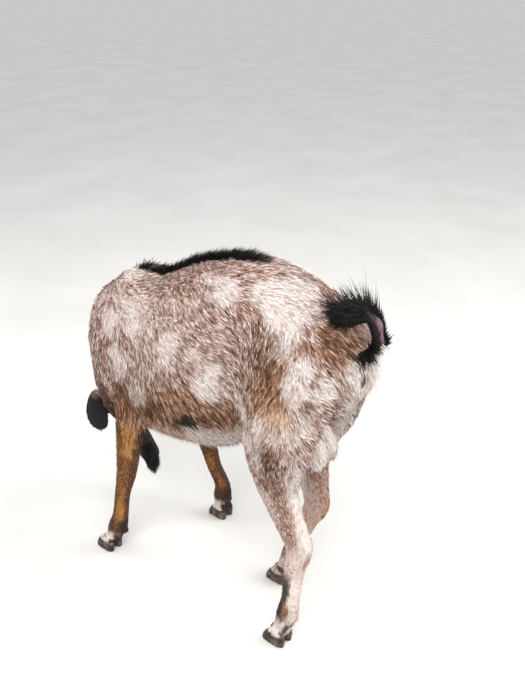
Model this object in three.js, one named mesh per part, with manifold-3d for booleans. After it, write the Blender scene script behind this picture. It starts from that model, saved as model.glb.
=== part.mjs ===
// A young Nubian buck goat, life size, standing with its head down to graze and its tail curled up.
// Lengths are in millimetres. +Z is up, the goat faces -X and its left side faces -Y.
// The form is modelled whole from cross-sections, and thin cuts part it into named pieces.
import * as THREE from "three";
import { mergeVertices } from "three/addons/utils/BufferGeometryUtils.js";
import Module from "manifold-3d";

const wasm = await Module();
wasm.setup();

// Driving sizes

const GAP = 0.3; // clear space between two pieces that meet
const WITHERS = 608; // height of the shoulders' top line, with the back sloping forward
const RUMP = 682; // height of the hips, the highest line of the back
const BARREL = 125; // half of the greatest width of the trunk
const BELLY = 290; // height of the lowest line of the belly
const HEAD_TURN = 24; // degrees to the goat's right
const HEAD_SIZE = 0.92; // scale of the head's own lengths, which are for a head 238 long
const POLL = [330, -25, 292]; // forward, left, height of the back of the skull
const NOSE = [285, -78, 96]; // tip of the muzzle
const EAR_LENGTH = 90;
const EAR_WIDTH = 50;
const EAR_THICK = 2.6;
const RIGHT_EAR_OUT = 33; // how much further out the right ear hangs, clear of the leaning cheek
const EYE_RADIUS = 11.5;
const CENTRE = [0, -4]; // x and y of the middle of the whole, moved to the origin
const LID_THICK = 2.4;
const KNEE_HALF = 21; // half width of a carpus, with its hair
const CANNON_HALF = 15.5;
const FETLOCK_HALF = 19;
const CLAW_LENGTH = 50;
const CLAW_HALF = 9.6;
const CLAW_HEIGHT = 30;
const TAIL_THICK = 13; // radius of the fleshy tail at its root
const LOCK_LEAST = 0.6; // thinnest middle of a lock of hair

const COAT = new THREE.Color(0.52, 0.37, 0.3);
const LIGHT = new THREE.Color(0.72, 0.6, 0.53);
const TAN = new THREE.Color(0.45, 0.25, 0.13);
const BLACK = new THREE.Color(0.03, 0.028, 0.03);
const HORN = new THREE.Color(0.07, 0.06, 0.055);

// Positions are written as forward, left, height and turned into x, y, z here
const place = ([forward, left, height]) => new THREE.Vector3(-forward, -left, height);
const LEFTWARD = new THREE.Vector3(0, -1, 0);

const mix = (a, b, t) => a + (b - a) * t;
const mixPoint = (p, q, t) => p.map((v, i) => mix(v, q[i], t));

// Even random numbers from a seed
function seeded(seed) {
  let state = seed >>> 0;
  return () => {
    state = (state + 0x6d2b79f5) >>> 0;
    let t = Math.imul(state ^ (state >>> 15), 1 | state);
    t = (t + Math.imul(t ^ (t >>> 7), 61 | t)) ^ t;
    return ((t ^ (t >>> 14)) >>> 0) / 4294967296;
  };
}

// Solids

function solidFrom(points, faces) {
  const flat = new Float32Array(points.length * 3);
  points.forEach((p, i) => flat.set([p.x, p.y, p.z], i * 3));
  const geometry = new THREE.BufferGeometry();
  geometry.setAttribute("position", new THREE.BufferAttribute(flat, 3));
  geometry.setIndex(faces);
  return solidOf(geometry);
}

function solidOf(geometry) {
  const plain = new THREE.BufferGeometry();
  plain.setAttribute("position", geometry.getAttribute("position"));
  if (geometry.index) plain.setIndex(geometry.index);
  const merged = mergeVertices(plain, 1e-4);
  const mesh = new wasm.Mesh({
    numProp: 3,
    vertProperties: merged.attributes.position.array,
    triVerts: new Uint32Array(merged.index.array),
  });
  return new wasm.Manifold(mesh);
}

function geometryOf(solid) {
  const mesh = solid.getMesh();
  const count = mesh.vertProperties.length / mesh.numProp;
  const flat = new Float32Array(count * 3);
  for (let i = 0; i < count; i++) {
    for (let k = 0; k < 3; k++) flat[i * 3 + k] = mesh.vertProperties[i * mesh.numProp + k];
  }
  const geometry = new THREE.BufferGeometry();
  geometry.setAttribute("position", new THREE.BufferAttribute(flat, 3));
  geometry.setIndex(Array.from(mesh.triVerts));
  return geometry;
}

// The largest closed surface of a solid
function largest(solid) {
  const bodies = solid.decompose();
  return bodies.reduce((a, b) => (b.volume() > a.volume() ? b : a));
}

const joined = (list) => list.reduce((a, b) => a.add(b));

function ball(centre, radii, detail = 10) {
  const g = new THREE.SphereGeometry(1, detail * 2, detail);
  g.scale(...radii);
  g.translate(centre.x, centre.y, centre.z);
  return solidOf(g);
}

function box(low, high) {
  const g = new THREE.BoxGeometry(high[0] - low[0], high[1] - low[1], high[2] - low[2]);
  g.translate((low[0] + high[0]) / 2, (low[1] + high[1]) / 2, (low[2] + high[2]) / 2);
  return solidOf(g);
}

// A smooth value between named rows
function smooth(values, t) {
  const last = values.length - 1;
  const i = Math.min(last - 1, Math.max(0, Math.floor(t)));
  const u = t - i;
  const at = (k) => values[Math.min(last, Math.max(0, k))];
  const [a, b, c, d] = [at(i - 1), at(i), at(i + 1), at(i + 2)];
  const slopeB = (c - a) / 2;
  const slopeC = (d - b) / 2;
  const u2 = u * u;
  const u3 = u2 * u;
  return (
    b * (2 * u3 - 3 * u2 + 1) + slopeB * (u3 - 2 * u2 + u) + c * (3 * u2 - 2 * u3) + slopeC * (u3 - u2)
  );
}

const power = (value, e) => Math.sign(value) * Math.abs(value) ** e;

// A closed body through cross-sections. Each row holds:
// at (position), wide (half width), up and down (from the centre towards the back or front of
// a limb, and the other way), square (2 is an ellipse), low (how much wider it is below).
// Round ends reach out by the lengths in ends. The sections stand square to the path, or square
// to facing where that is given.
function loft(rows, { around = 24, steps = 5, side = LEFTWARD, ends = [0, 0], grow = 0, facing } = {}) {
  const total = (rows.length - 1) * steps;
  const centres = [];
  const sizes = [];
  const get = (key, standard) => rows.map((r) => (r[key] === undefined ? standard : r[key]));
  const lists = {
    wide: get("wide"),
    up: get("up"),
    down: get("down"),
    square: get("square", 2),
    low: get("low", 0),
  };
  const xyz = [0, 1, 2].map((k) => rows.map((r) => r.at.getComponent(k)));
  for (let i = 0; i <= total; i++) {
    const t = i / steps;
    centres.push(new THREE.Vector3(smooth(xyz[0], t), smooth(xyz[1], t), smooth(xyz[2], t)));
    const size = {};
    for (const key of Object.keys(lists)) size[key] = smooth(lists[key], t);
    size.wide = Math.max(0.3, size.wide) + grow;
    size.up = Math.max(0.3, size.up) + grow;
    size.down = Math.max(0.3, size.down) + grow;
    sizes.push(size);
  }
  const frames = centres.map((c, i) => {
    const step = centres[Math.min(total, i + 1)].clone().sub(centres[Math.max(0, i - 1)]).normalize();
    const along = facing || step;
    const lateral = side.clone().addScaledVector(along, -side.dot(along)).normalize();
    const front = along.clone().cross(lateral).normalize();
    return { along, lateral, front };
  });
  const rings = [];
  const ring = (i, shrink, shift) => {
    const { along, lateral, front } = frames[i];
    const { wide, up, down, square, low } = sizes[i];
    const points = [];
    for (let j = 0; j < around; j++) {
      const a = (j / around) * Math.PI * 2;
      const s = power(Math.sin(a), 2 / square);
      const c = power(Math.cos(a), 2 / square) * (1 - low * s);
      const p = centres[i].clone().addScaledVector(along, shift);
      p.addScaledVector(lateral, c * wide * shrink);
      p.addScaledVector(front, s * (s > 0 ? up : down) * shrink);
      points.push(p);
    }
    rings.push(points);
  };
  const domes = [0.45, 0.8];
  if (ends[0] > 0) {
    for (const d of [...domes].reverse()) ring(0, Math.sqrt(1 - d * d), -d * ends[0]);
  }
  for (let i = 0; i <= total; i++) ring(i, 1, 0);
  if (ends[1] > 0) {
    for (const d of domes) ring(total, Math.sqrt(1 - d * d), d * ends[1]);
  }
  const points = rings.flat();
  const faces = [];
  for (let i = 0; i < rings.length - 1; i++) {
    for (let j = 0; j < around; j++) {
      const k = (j + 1) % around;
      const [a, b] = [i * around + j, i * around + k];
      const [c, d] = [b + around, a + around];
      faces.push(a, b, c, a, c, d);
    }
  }
  const tip = (i, shift) => {
    points.push(centres[i].clone().addScaledVector(frames[i].along, shift));
    return points.length - 1;
  };
  const first = tip(0, -ends[0] - grow);
  const end = tip(total, ends[1] + grow);
  const lastRing = (rings.length - 1) * around;
  for (let j = 0; j < around; j++) {
    const k = (j + 1) % around;
    faces.push(first, k, j);
    faces.push(end, lastRing + j, lastRing + k);
  }
  return solidFrom(points, faces);
}

// One row of a trunk section from its top and bottom heights
const slice = (forward, top, bottom, wide, low = 0, square = 2.2) => ({
  at: place([forward, 0, mix(bottom, top, 0.52)]),
  wide,
  up: (top - bottom) * 0.48,
  down: (top - bottom) * 0.52,
  low,
  square,
});

// Trunk, from the buttocks to the breast
const trunkRows = [
  slice(-322, 566, 504, 36, 0, 2.3),
  slice(-308, 584, 478, 57, 0, 2.3),
  slice(-286, 607, 448, 75, 0, 2.2),
  slice(-250, 635, 424, 92, -0.04),
  slice(-205, 660, 402, 102, -0.06),
  slice(-135, RUMP, 362, 113, -0.02),
  slice(-60, 675, 315, 122, 0.04),
  slice(25, 646, BELLY + 7, BARREL, 0.09),
  slice(100, 610, BELLY - 3, 112, 0.12),
  slice(165, WITHERS, 294, 95, 0.14),
  slice(212, 588, 322, 82, 0.12),
  slice(250, 550, 356, 66, 0.06),
  slice(276, 510, 390, 40, 0, 2),
];

// Neck, from inside the trunk to inside the skull
const neckRows = [
  { at: place([150, 0, 505]), wide: 62, up: 78, down: 70 },
  { at: place([212, 0, 497]), wide: 60, up: 76, down: 70 },
  { at: place([262, -3, 450]), wide: 52, up: 64, down: 62 },
  { at: place([296, -10, 392]), wide: 43, up: 52, down: 50 },
  { at: place([318, -18, 335]), wide: 38, up: 44, down: 42 },
  { at: place([330, -26, 288]), wide: 34, up: 34, down: 38 },
  { at: place([332, -32, 262]), wide: 26, up: 24, down: 30 },
];

// Joints of each leg: forward, left, height
const legs = {
  fore_left: { shoulder: [196, 66, 470], elbow: [142, 78, 352], knee: [160, 92, 208] },
  fore_right: { shoulder: [186, -66, 470], elbow: [130, -76, 352], knee: [118, -90, 208] },
  hind_left: { hip: [-208, 58, 560], stifle: [-168, 78, 402], hock: [-246, 62, 205] },
  hind_right: { hip: [-204, -58, 560], stifle: [-150, -76, 402], hock: [-200, -52, 205] },
};
Object.assign(legs.fore_left, { fetlock: [187, 109, 66], toe: [208, 116, 0] });
Object.assign(legs.fore_right, { fetlock: [90, -104, 66], toe: [95, -108, 0] });
Object.assign(legs.hind_left, { fetlock: [-239, 87, 76], toe: [-226, 92, 0] });
Object.assign(legs.hind_right, { fetlock: [-150, -42, 76], toe: [-132, -33, 0] });

// A row across a limb: front and back of its middle, half width, and shift to the back
const across = (p, front, back, wide, shift = 0, square = 2) => ({
  at: place([p[0] - shift, p[1], p[2]]),
  wide,
  up: front,
  down: back,
  square,
});

function foot(fetlock, toe) {
  const pastern = mixPoint(fetlock, toe, 0.5);
  return [
    across(mixPoint(fetlock, toe, -0.4), CANNON_HALF + 0.5, CANNON_HALF + 4, CANNON_HALF),
    across(mixPoint(fetlock, toe, 0.05), FETLOCK_HALF - 1, FETLOCK_HALF + 5, FETLOCK_HALF),
    across(pastern, FETLOCK_HALF - 1, FETLOCK_HALF - 3, FETLOCK_HALF - 2),
    across(mixPoint(fetlock, toe, 0.72), CLAW_LENGTH * 0.42, CLAW_LENGTH * 0.36, CLAW_HALF * 1.9),
  ];
}

function foreleg({ shoulder, elbow, knee, fetlock, toe }, grow = 0) {
  const forearm = mixPoint(elbow, knee, 0.45);
  const cannon = mixPoint(knee, fetlock, 0.5);
  return loft(
    [
      across([shoulder[0] - 14, shoulder[1] * 0.62, shoulder[2] + 84], 34, 34, 14),
      across(shoulder, 64, 58, 30),
      across(mixPoint(shoulder, elbow, 0.55), 62, 56, 32),
      across(elbow, 42, 46, 29),
      across(forearm, 29, 33, 24.5),
      across(knee, KNEE_HALF + 1, KNEE_HALF + 4, KNEE_HALF),
      across(mixPoint(knee, fetlock, 0.22), 17.5, 21, 17.5),
      across(cannon, CANNON_HALF, CANNON_HALF + 1.5, CANNON_HALF),
      ...foot(fetlock, toe),
    ],
    { around: 12, steps: 3, grow },
  );
}

function hindleg({ hip, stifle, hock, fetlock, toe }, grow = 0) {
  const gaskin = mixPoint(stifle, hock, 0.5);
  const cannon = mixPoint(hock, fetlock, 0.5);
  return loft(
    [
      across([hip[0] - 10, hip[1] * 0.55, hip[2] + 62], 40, 34, 12),
      across([hip[0], hip[1] * 0.95, hip[2]], 66, 90, 36, 18),
      across(mixPoint(hip, stifle, 0.5), 80, 84, 40, 28),
      across(stifle, 60, 76, 36, 34),
      across(mixPoint(stifle, hock, 0.28), 50, 56, 29, 12),
      across(gaskin, 36, 42, 25),
      across(mixPoint(stifle, hock, 0.8), 30, 33, 21),
      across(hock, 27, 27, 21.5),
      across(mixPoint(hock, fetlock, 0.25), 21, 20, 18),
      across(cannon, CANNON_HALF + 4, CANNON_HALF + 3, CANNON_HALF + 1),
      ...foot(fetlock, toe),
    ],
    { around: 12, steps: 3, grow },
  );
}

// One claw of a foot. Its sole is flat on the floor and its wall leans forward
function claw(toe, inward, grow = 0) {
  const middle = toe[1] + inward * (CLAW_HALF + 0.9);
  const level = (height, forward, front, back, wide) => ({
    at: place([toe[0] + forward, middle, height]),
    wide,
    up: front,
    down: back,
    square: 2.3,
  });
  const horn = loft(
    [
      level(CLAW_HEIGHT + 5 + grow, -6, 12, 12, CLAW_HALF * 0.75),
      level(CLAW_HEIGHT - 3, -3, 18, 18, CLAW_HALF * 0.94),
      level(CLAW_HEIGHT * 0.35, 2, 25, 21, CLAW_HALF),
      level(-4, 5, 28, 22, CLAW_HALF * 0.97),
    ],
    { around: 12, steps: 1, grow },
  );
  return horn.intersect(box([-900, -900, 0], [900, 900, 200]));
}

function dewclaw(fetlock, inward) {
  const g = new THREE.SphereGeometry(1, 10, 6);
  g.scale(7, 5, 9);
  g.rotateY(0.5);
  const at = place([fetlock[0] - FETLOCK_HALF + 4, fetlock[1] + inward * 8, fetlock[2] - 14]);
  g.translate(at.x, at.y, at.z);
  return solidOf(g);
}

// The head is modelled along its own axes: x from the poll to the nose, y to its left, and
// z out of the forehead. This turns it into place.
const headFrame = (() => {
  const poll = place(POLL);
  const along = place(NOSE).sub(poll).normalize();
  const turn = THREE.MathUtils.degToRad(HEAD_TURN);
  const face = new THREE.Vector3(-Math.cos(turn), Math.sin(turn), 0);
  face.addScaledVector(along, -face.dot(along)).normalize();
  const left = face.clone().cross(along).normalize();
  const turned = new THREE.Matrix4().makeBasis(along, left, face);
  return turned.scale(new THREE.Vector3(HEAD_SIZE, HEAD_SIZE, HEAD_SIZE)).setPosition(poll);
})();

function inPlace(solid) {
  return solidOf(geometryOf(solid).applyMatrix4(headFrame));
}

const headRow = (x, top, bottom, wide, low = 0, square = 2.2) => ({
  at: new THREE.Vector3(x, 0, (top + bottom) / 2),
  wide,
  up: (top - bottom) / 2,
  down: (top - bottom) / 2,
  low,
  square,
});
const HEAD_LEFT = new THREE.Vector3(0, 1, 0);

const skullRows = [
  headRow(-16, 12, -44, 26),
  headRow(4, 28, -62, 38),
  headRow(30, 38, -70, 43, -0.06),
  headRow(60, 43, -66, 41, -0.14),
  headRow(90, 44, -54, 35, -0.1),
  headRow(122, 43, -44, 29, -0.02),
  headRow(154, 39, -37, 26, 0.02),
  headRow(182, 32, -33, 25, 0.02),
  headRow(206, 24, -32, 25.5, 0, 2.3),
  headRow(222, 16, -30, 24, 0, 2.3),
  headRow(232, 8, -26, 19.5, 0, 2.2),
  headRow(237, 0, -19, 12, 0, 2.2),
];

// Middle of the left eye
const EYE_AT = [64, 33, 15];

// A swelling of the skull that fades into it at both ends
function swelling(rows, s, grow = 0) {
  const path = rows.map(([x, y, z, across, high]) => ({
    at: new THREE.Vector3(x, s * y, z),
    wide: across,
    up: high,
    down: high,
  }));
  return loft(path, { side: HEAD_LEFT, around: 10, steps: 1, ends: [2, 2], grow });
}

// Ridge over the eye, cheek muscle and wing of the nostril on one side: x, y, z, half sizes
const browRows = [
  [32, 21, 16, 8, 9],
  [50, 26, 22, 10, 10],
  [66, 27, 23, 10, 9],
  [86, 20, 19, 7, 8],
];
const cheekRows = [
  [6, 20, -34, 12, 20],
  [30, 27, -34, 14, 27],
  [58, 26, -32, 13, 25],
  [92, 18, -28, 9, 15],
];
const wingRows = [
  [190, 14, 12, 7, 9],
  [207, 16, 9, 10, 11],
  [220, 15, 4, 10, 10],
  [230, 12, -1, 7, 7],
];

function headSolid(grow = 0) {
  const skull = loft(skullRows, { side: HEAD_LEFT, around: 16, steps: 2, ends: [12, 2], grow });
  const rows = [browRows, cheekRows, wingRows];
  const sides = [1, -1].flatMap((s) => rows.map((r) => swelling(r, s, grow)));
  const chin = ball(new THREE.Vector3(208, 0, -25), [17, 14, 10], 6);
  return joined([skull, ...sides, chin]);
}

// Each eye sits in a socket, behind an upper and a lower lid with a slit between them
function eyeSockets(head) {
  const slit = [12.5, 9, 5.6];
  for (const s of [1, -1]) {
    const centre = new THREE.Vector3(EYE_AT[0], s * EYE_AT[1], EYE_AT[2]);
    const r = EYE_RADIUS + LID_THICK;
    head = head.add(ball(centre, [r + 2, r, r], 7));
    const opening = ball(centre.clone().setY(s * (EYE_AT[1] + EYE_RADIUS)), slit, 6);
    const room = EYE_RADIUS + GAP;
    head = head.subtract(ball(centre, [room, room, room], 7));
    head = head.subtract(opening);
  }
  return head;
}

// The line of the mouth goes a few millimetres deep round the muzzle, and each nostril slants
const MOUTH = [
  [168, -7],
  [180, -12],
  [198, -16],
  [222, -17],
  [252, -17],
];

const NOSTRIL_AT = [228, 17, 3];

function mouthAndNose(head) {
  const line = MOUTH.map(([x, z]) => ({
    at: new THREE.Vector3(x, 0, z),
    wide: 60,
    up: 0.7,
    down: 0.7,
    square: 5,
  }));
  const blade = loft(line, { side: HEAD_LEFT, around: 8, steps: 1 });
  const inner = skullRows.map((r) => ({ ...r, wide: Math.max(2, r.wide - 4) }));
  const core = loft(inner, { side: HEAD_LEFT, around: 14, steps: 1, ends: [12, 1] });
  head = head.subtract(blade.subtract(core));
  for (const s of [1, -1]) {
    const g = new THREE.SphereGeometry(1, 10, 6);
    g.scale(8.5, 4.5, 3);
    g.rotateZ(s * -0.5);
    g.rotateY(0.75);
    g.translate(NOSTRIL_AT[0], s * NOSTRIL_AT[1], NOSTRIL_AT[2]);
    head = head.subtract(solidOf(g));
  }
  return head;
}

// A hanging ear: a blade curved across, thick at its root, with the cup towards the face.
// Its path goes out from the root (outward, down, towards the face) and then hangs straight.
const EAR_ROOT = [4, 33, -10];
const earPath = [
  [-6, 0, 0],
  [6, 2, -3],
  [14, 13, -8],
  [17, EAR_LENGTH * 0.42, -9],
  [16, EAR_LENGTH * 0.71, -6],
  [14, EAR_LENGTH * 0.9, -4],
  [12, EAR_LENGTH, -2],
];
const earHalves = [11, 14, 20, EAR_WIDTH / 2, EAR_WIDTH * 0.48, EAR_WIDTH * 0.34, 5];
const earCurls = [7, 9, 11, 10, 8, 5, 1];
const earThicks = [8, 6, 3.6, EAR_THICK, EAR_THICK, EAR_THICK * 0.8, 1.6];

function earSolid(s) {
  const root = new THREE.Vector3(EAR_ROOT[0], s * EAR_ROOT[1], EAR_ROOT[2]).applyMatrix4(headFrame);
  const [left, face] = [1, 2].map((k) => new THREE.Vector3().setFromMatrixColumn(headFrame, k));
  const down = new THREE.Vector3(0, 0, -1);
  const outward = left.clone().multiplyScalar(s).setZ(0).normalize();
  const ahead = face.clone().setZ(0);
  ahead.addScaledVector(outward, -ahead.dot(outward)).normalize();
  const steps = 3;
  const total = (earPath.length - 1) * steps;
  const across = 5;
  const rings = [];
  for (let i = 0; i <= total; i++) {
    const t = i / steps;
    const [o, d, f] = [0, 1, 2].map((k) => smooth(earPath.map((p) => p[k]), t));
    const clear = s > 0 ? 0 : RIGHT_EAR_OUT * Math.min(1, t / 4);
    const centre = root.clone().addScaledVector(outward, o + clear).addScaledVector(down, d);
    centre.addScaledVector(ahead, f);
    const half = smooth(earHalves, t);
    const curl = smooth(earCurls, t);
    const thick = smooth(earThicks, t);
    const hang = Math.min(1, t / 2.2);
    const back = outward.clone().multiplyScalar(0.62).addScaledVector(ahead, -0.78);
    const normal = back.lerp(down.clone().negate().addScaledVector(ahead, -0.9), 1 - hang).normalize();
    const wide = ahead.clone().multiplyScalar(0.62).addScaledVector(outward, 0.78);
    wide.lerp(ahead.clone().addScaledVector(down, -0.2), 1 - hang);
    wide.addScaledVector(normal, -wide.dot(normal)).normalize();
    const row = [];
    const put = (v, depth) => {
      const p = centre.clone().addScaledVector(wide, v * half);
      row.push(p.addScaledVector(normal, curl * (1 - v * v) - curl / 2 - depth));
    };
    for (let j = 0; j <= across; j++) put(-1 + (2 * j) / across, 0);
    for (let j = across; j >= 0; j--) {
      const v = -1 + (2 * j) / across;
      put(v, Math.max(0.9, thick * (1 - 0.55 * v * v)));
    }
    rings.push(row);
  }
  const around = rings[0].length;
  const points = rings.flat();
  const faces = [];
  for (let i = 0; i < rings.length - 1; i++) {
    for (let j = 0; j < around; j++) {
      const k = (j + 1) % around;
      const [a, b, c, d] = [i * around + j, i * around + k, (i + 1) * around + k, (i + 1) * around + j];
      faces.push(a, b, c, a, c, d);
    }
  }
  const middle = (ring) => ring.reduce((sum, p) => sum.add(p), new THREE.Vector3()).divideScalar(around);
  points.push(middle(rings[0]));
  const first = points.length - 1;
  points.push(middle(rings[rings.length - 1]));
  const end = points.length - 1;
  const lastRing = (rings.length - 1) * around;
  for (let j = 0; j < around; j++) {
    const k = (j + 1) % around;
    faces.push(first, k, j);
    faces.push(end, lastRing + j, lastRing + k);
  }
  let solid = solidFrom(points, faces);
  if (solid.volume() < 0) {
    for (let i = 0; i < faces.length; i += 3) [faces[i + 1], faces[i + 2]] = [faces[i + 2], faces[i + 1]];
    solid = solidFrom(points, faces);
  }
  return solid;
}

// A lock of hair: flat, tapered and bent. It starts at root, goes along way and bends towards
// bend. Its flat side is square to facing.
function lock(root, way, bend, facing, length, width, thick) {
  const steps = 3;
  const shape = [1, 1.08, 0.8, 0.34];
  const points = [];
  const faces = [];
  for (let i = 0; i <= steps; i++) {
    const t = i / steps;
    const centre = root.clone().addScaledVector(way, length * t).addScaledVector(bend, length * t * t);
    const along = way.clone().addScaledVector(bend, 2 * t).normalize();
    const lateral = along.clone().cross(facing).normalize();
    const flat = lateral.clone().cross(along).normalize();
    const half = (width / 2) * shape[i];
    const deep = Math.max(LOCK_LEAST / 2, (thick / 2) * (1 - 0.6 * t));
    for (const [a, b] of [[1, 0], [0, 1], [-1, 0], [0, -1]]) {
      points.push(centre.clone().addScaledVector(lateral, a * half).addScaledVector(flat, b * deep));
    }
  }
  points.push(root.clone().addScaledVector(way, length * 1.16).addScaledVector(bend, length * 1.3));
  const tip = points.length - 1;
  for (let i = 0; i < steps; i++) {
    for (let j = 0; j < 4; j++) {
      const k = (j + 1) % 4;
      const [a, b, c, d] = [i * 4 + j, i * 4 + k, i * 4 + 4 + k, i * 4 + 4 + j];
      faces.push(a, b, c, a, c, d);
    }
  }
  for (let j = 0; j < 4; j++) faces.push(steps * 4 + j, steps * 4 + ((j + 1) % 4), tip);
  faces.push(0, 3, 2, 0, 2, 1);
  const made = solidFrom(points, faces);
  if (made.volume() > 0) return made;
  for (let i = 0; i < faces.length; i += 3) [faces[i + 1], faces[i + 2]] = [faces[i + 2], faces[i + 1]];
  return solidFrom(points, faces);
}

// Raised hair along the spine from the withers to the hips
const CREST_LOCKS = 24;
const CREST_FROM = 178; // forward
const CREST_TO = -112;
const CREST_LENGTH = 29;

function crestLocks() {
  const random = seeded(11);
  const locks = [];
  for (let i = 0; i < CREST_LOCKS; i++) {
    const t = i / (CREST_LOCKS - 1);
    const forward = mix(CREST_FROM, CREST_TO, t);
    const top = trunkTop(forward);
    const side = (random() - 0.5) * 7;
    const way = new THREE.Vector3(0.66, side * 0.03, 0.8).normalize();
    const length = CREST_LENGTH * (0.8 + 0.35 * random()) * (0.7 + 0.3 * Math.sin(Math.PI * t));
    const root = place([forward + 6, -side, top - 6]);
    const facing = new THREE.Vector3(-0.8, side * 0.08, 0.66).normalize();
    locks.push(lock(root, way, new THREE.Vector3(0.14, 0, -0.16), facing, length, 10.5, 4.2));
  }
  return locks;
}

// Beard that hangs from the chin
const BEARD_LOCKS = 8;
const BEARD_LENGTH = 40;

function beardLocks() {
  const random = seeded(5);
  const locks = [];
  for (let i = 0; i < BEARD_LOCKS; i++) {
    const across = (i % 2 ? 1 : -1) * (1.5 + 5 * random());
    const root = new THREE.Vector3(mix(184, 212, i / (BEARD_LOCKS - 1)), across, -27).applyMatrix4(headFrame);
    const way = new THREE.Vector3(0.52 + 0.12 * random(), -0.2 + 0.1 * random(), -0.85).normalize();
    const length = BEARD_LENGTH * (0.75 + 0.3 * random());
    locks.push(lock(root, way, new THREE.Vector3(-0.16, 0, -0.06), LEFTWARD, length, 9, 4.4));
  }
  return locks;
}

// Height of the trunk's top line
function trunkTop(forward) {
  const steps = 60;
  for (let i = 0; i < steps * (trunkRows.length - 1); i++) {
    const t = i / steps;
    const x = smooth(trunkRows.map((r) => r.at.x), t);
    if (-x >= forward) {
      return smooth(trunkRows.map((r) => r.at.z), t) + smooth(trunkRows.map((r) => r.up), t);
    }
  }
  return WITHERS;
}

// Tail, from inside the rump up and forward over it
const tailPath = [
  [-296, 0, 548],
  [-318, 0, 566],
  [-341, 0, 596],
  [-336, 0, 628],
  [-310, 0, 643],
  [-282, 0, 640],
  [-258, 0, 630],
];
const tailRows = tailPath.map((p, i) => {
  const r = mix(TAIL_THICK, TAIL_THICK * 0.6, i / (tailPath.length - 1));
  return { at: place(p), wide: r * 1.15, up: r, down: r };
});

// Long hair of the tail: one row of locks hangs from each edge, one lies along the top and a
// tuft spreads at the tip. Its underside, which faces out, stays bare.
const FRINGE_ROWS = 13;
const FRINGE_LENGTH = 40;

function tailLocks() {
  const random = seeded(7);
  const locks = [];
  const last = tailRows.length - 1;
  const middleAt = (t) => ["x", "y", "z"].map((k) => smooth(tailRows.map((r) => r.at[k]), t));
  const spot = (t) => new THREE.Vector3(...middleAt(t));
  for (let i = 0; i < FRINGE_ROWS; i++) {
    const t = mix(1.7, last - 0.1, i / (FRINGE_ROWS - 1));
    const at = spot(t);
    const along = spot(Math.min(last, t + 0.2)).sub(spot(Math.max(0, t - 0.2))).normalize();
    const out = new THREE.Vector3(along.z, 0, -along.x); // away from the inside of the curl
    const thick = smooth(tailRows.map((r) => r.up), t);
    const grown = FRINGE_LENGTH * (0.55 + (0.5 * i) / FRINGE_ROWS);
    const put = (lateral, outward, onward, length, width, facing) => {
      const way = new THREE.Vector3(0, lateral, 0);
      way.addScaledVector(out, outward + 0.1 * (random() - 0.5)).addScaledVector(along, onward);
      way.normalize();
      const root = at.clone().addScaledVector(way, thick * 0.35);
      const bend = along.clone().multiplyScalar(0.16).add(new THREE.Vector3(0, 0, -0.12));
      locks.push(lock(root, way, bend, facing, length * (0.9 + 0.2 * random()), width, 3.4));
    };
    const inside = out.clone().negate();
    put(-0.7, -0.05, 0.85, grown, 16, out);
    put(0.6, 0.42, 0.9, grown, 16, out);
    if (i % 2) put(i % 4 === 1 ? 0.4 : -0.45, -0.62, 0.72, grown * 0.85, 16, inside);
  }
  for (let i = 0; i < 3; i++) {
    const at = spot(2.1 + 0.45 * i);
    const way = new THREE.Vector3(-0.18 - 0.1 * i, -0.5, -0.9).normalize();
    const root = at.clone().add(new THREE.Vector3(0, -2, 4));
    locks.push(lock(root, way, new THREE.Vector3(0, 0.1, -0.1), LEFTWARD, 44 + 5 * i, 14, 4));
  }
  const tip = spot(last);
  const way = spot(last).sub(spot(last - 0.3)).normalize();
  for (let i = 0; i < 6; i++) {
    const spread = (i - 2.5) / 2.5;
    const turned = way.clone().add(new THREE.Vector3(0, spread * 0.55, -0.05 - 0.1 * Math.abs(spread)));
    const root = tip.clone().addScaledVector(way, -8).add(new THREE.Vector3(0, spread * 4, 0));
    const length = 38 * (0.9 + 0.25 * random());
    const down = new THREE.Vector3(0, 0, -0.1);
    locks.push(lock(root, turned.normalize(), down, new THREE.Vector3(0, 0, 1), length, 12, 4));
  }
  return locks;
}

function scrotumSolid() {
  const lobe = (left) =>
    loft(
      [
        { at: place([-226, left * 0.4, 418]), wide: 17, up: 16, down: 16 },
        { at: place([-236, left * 0.8, 394]), wide: 17, up: 17, down: 17 },
        { at: place([-243, left, 366]), wide: 20, up: 21, down: 21 },
        { at: place([-245, left, 348]), wide: 13, up: 14, down: 14 },
      ],
      { around: 12, steps: 2, ends: [0, 6] },
    );
  return lobe(14).add(lobe(-18));
}

// Whole body

const trunkForm = { around: 26, steps: 2, ends: [5, 10], facing: new THREE.Vector3(-1, 0, 0) };
const trunk = loft(trunkRows, trunkForm);
const neckForm = { around: 20, steps: 3 };
const neck = loft(neckRows, neckForm);
const sheath = ball(place([62, 0, BELLY + 3]), [26, 13, 11], 6);
const headWhole = joined([inPlace(mouthAndNose(eyeSockets(headSolid()))), ...beardLocks()]);

const limbs = {};
for (const [name, joints] of Object.entries(legs)) {
  limbs[name] = name.startsWith("fore") ? foreleg(joints) : hindleg(joints);
  for (const s of [1, -1]) limbs[name] = limbs[name].add(dewclaw(joints.fetlock, s));
}

const body = joined([trunk, neck, sheath, ...Object.values(limbs), ...crestLocks()]);
const tailCore = loft(tailRows, { around: 12, steps: 3, ends: [0, 7] });
const whole = largest(joined([body, headWhole]));

// Cuts

// A large block on one side of a plane, pushed back by half of the gap
function beyond(point, normal, reach = 1500) {
  const g = new THREE.BoxGeometry(reach, reach, reach);
  g.translate(0, 0, reach / 2 + GAP / 2);
  const turn = new THREE.Quaternion().setFromUnitVectors(new THREE.Vector3(0, 0, 1), normal);
  g.applyQuaternion(turn);
  g.translate(point.x, point.y, point.z);
  return solidOf(g);
}
const direction = (x, y, z) => new THREE.Vector3(x, y, z).normalize();

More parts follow.
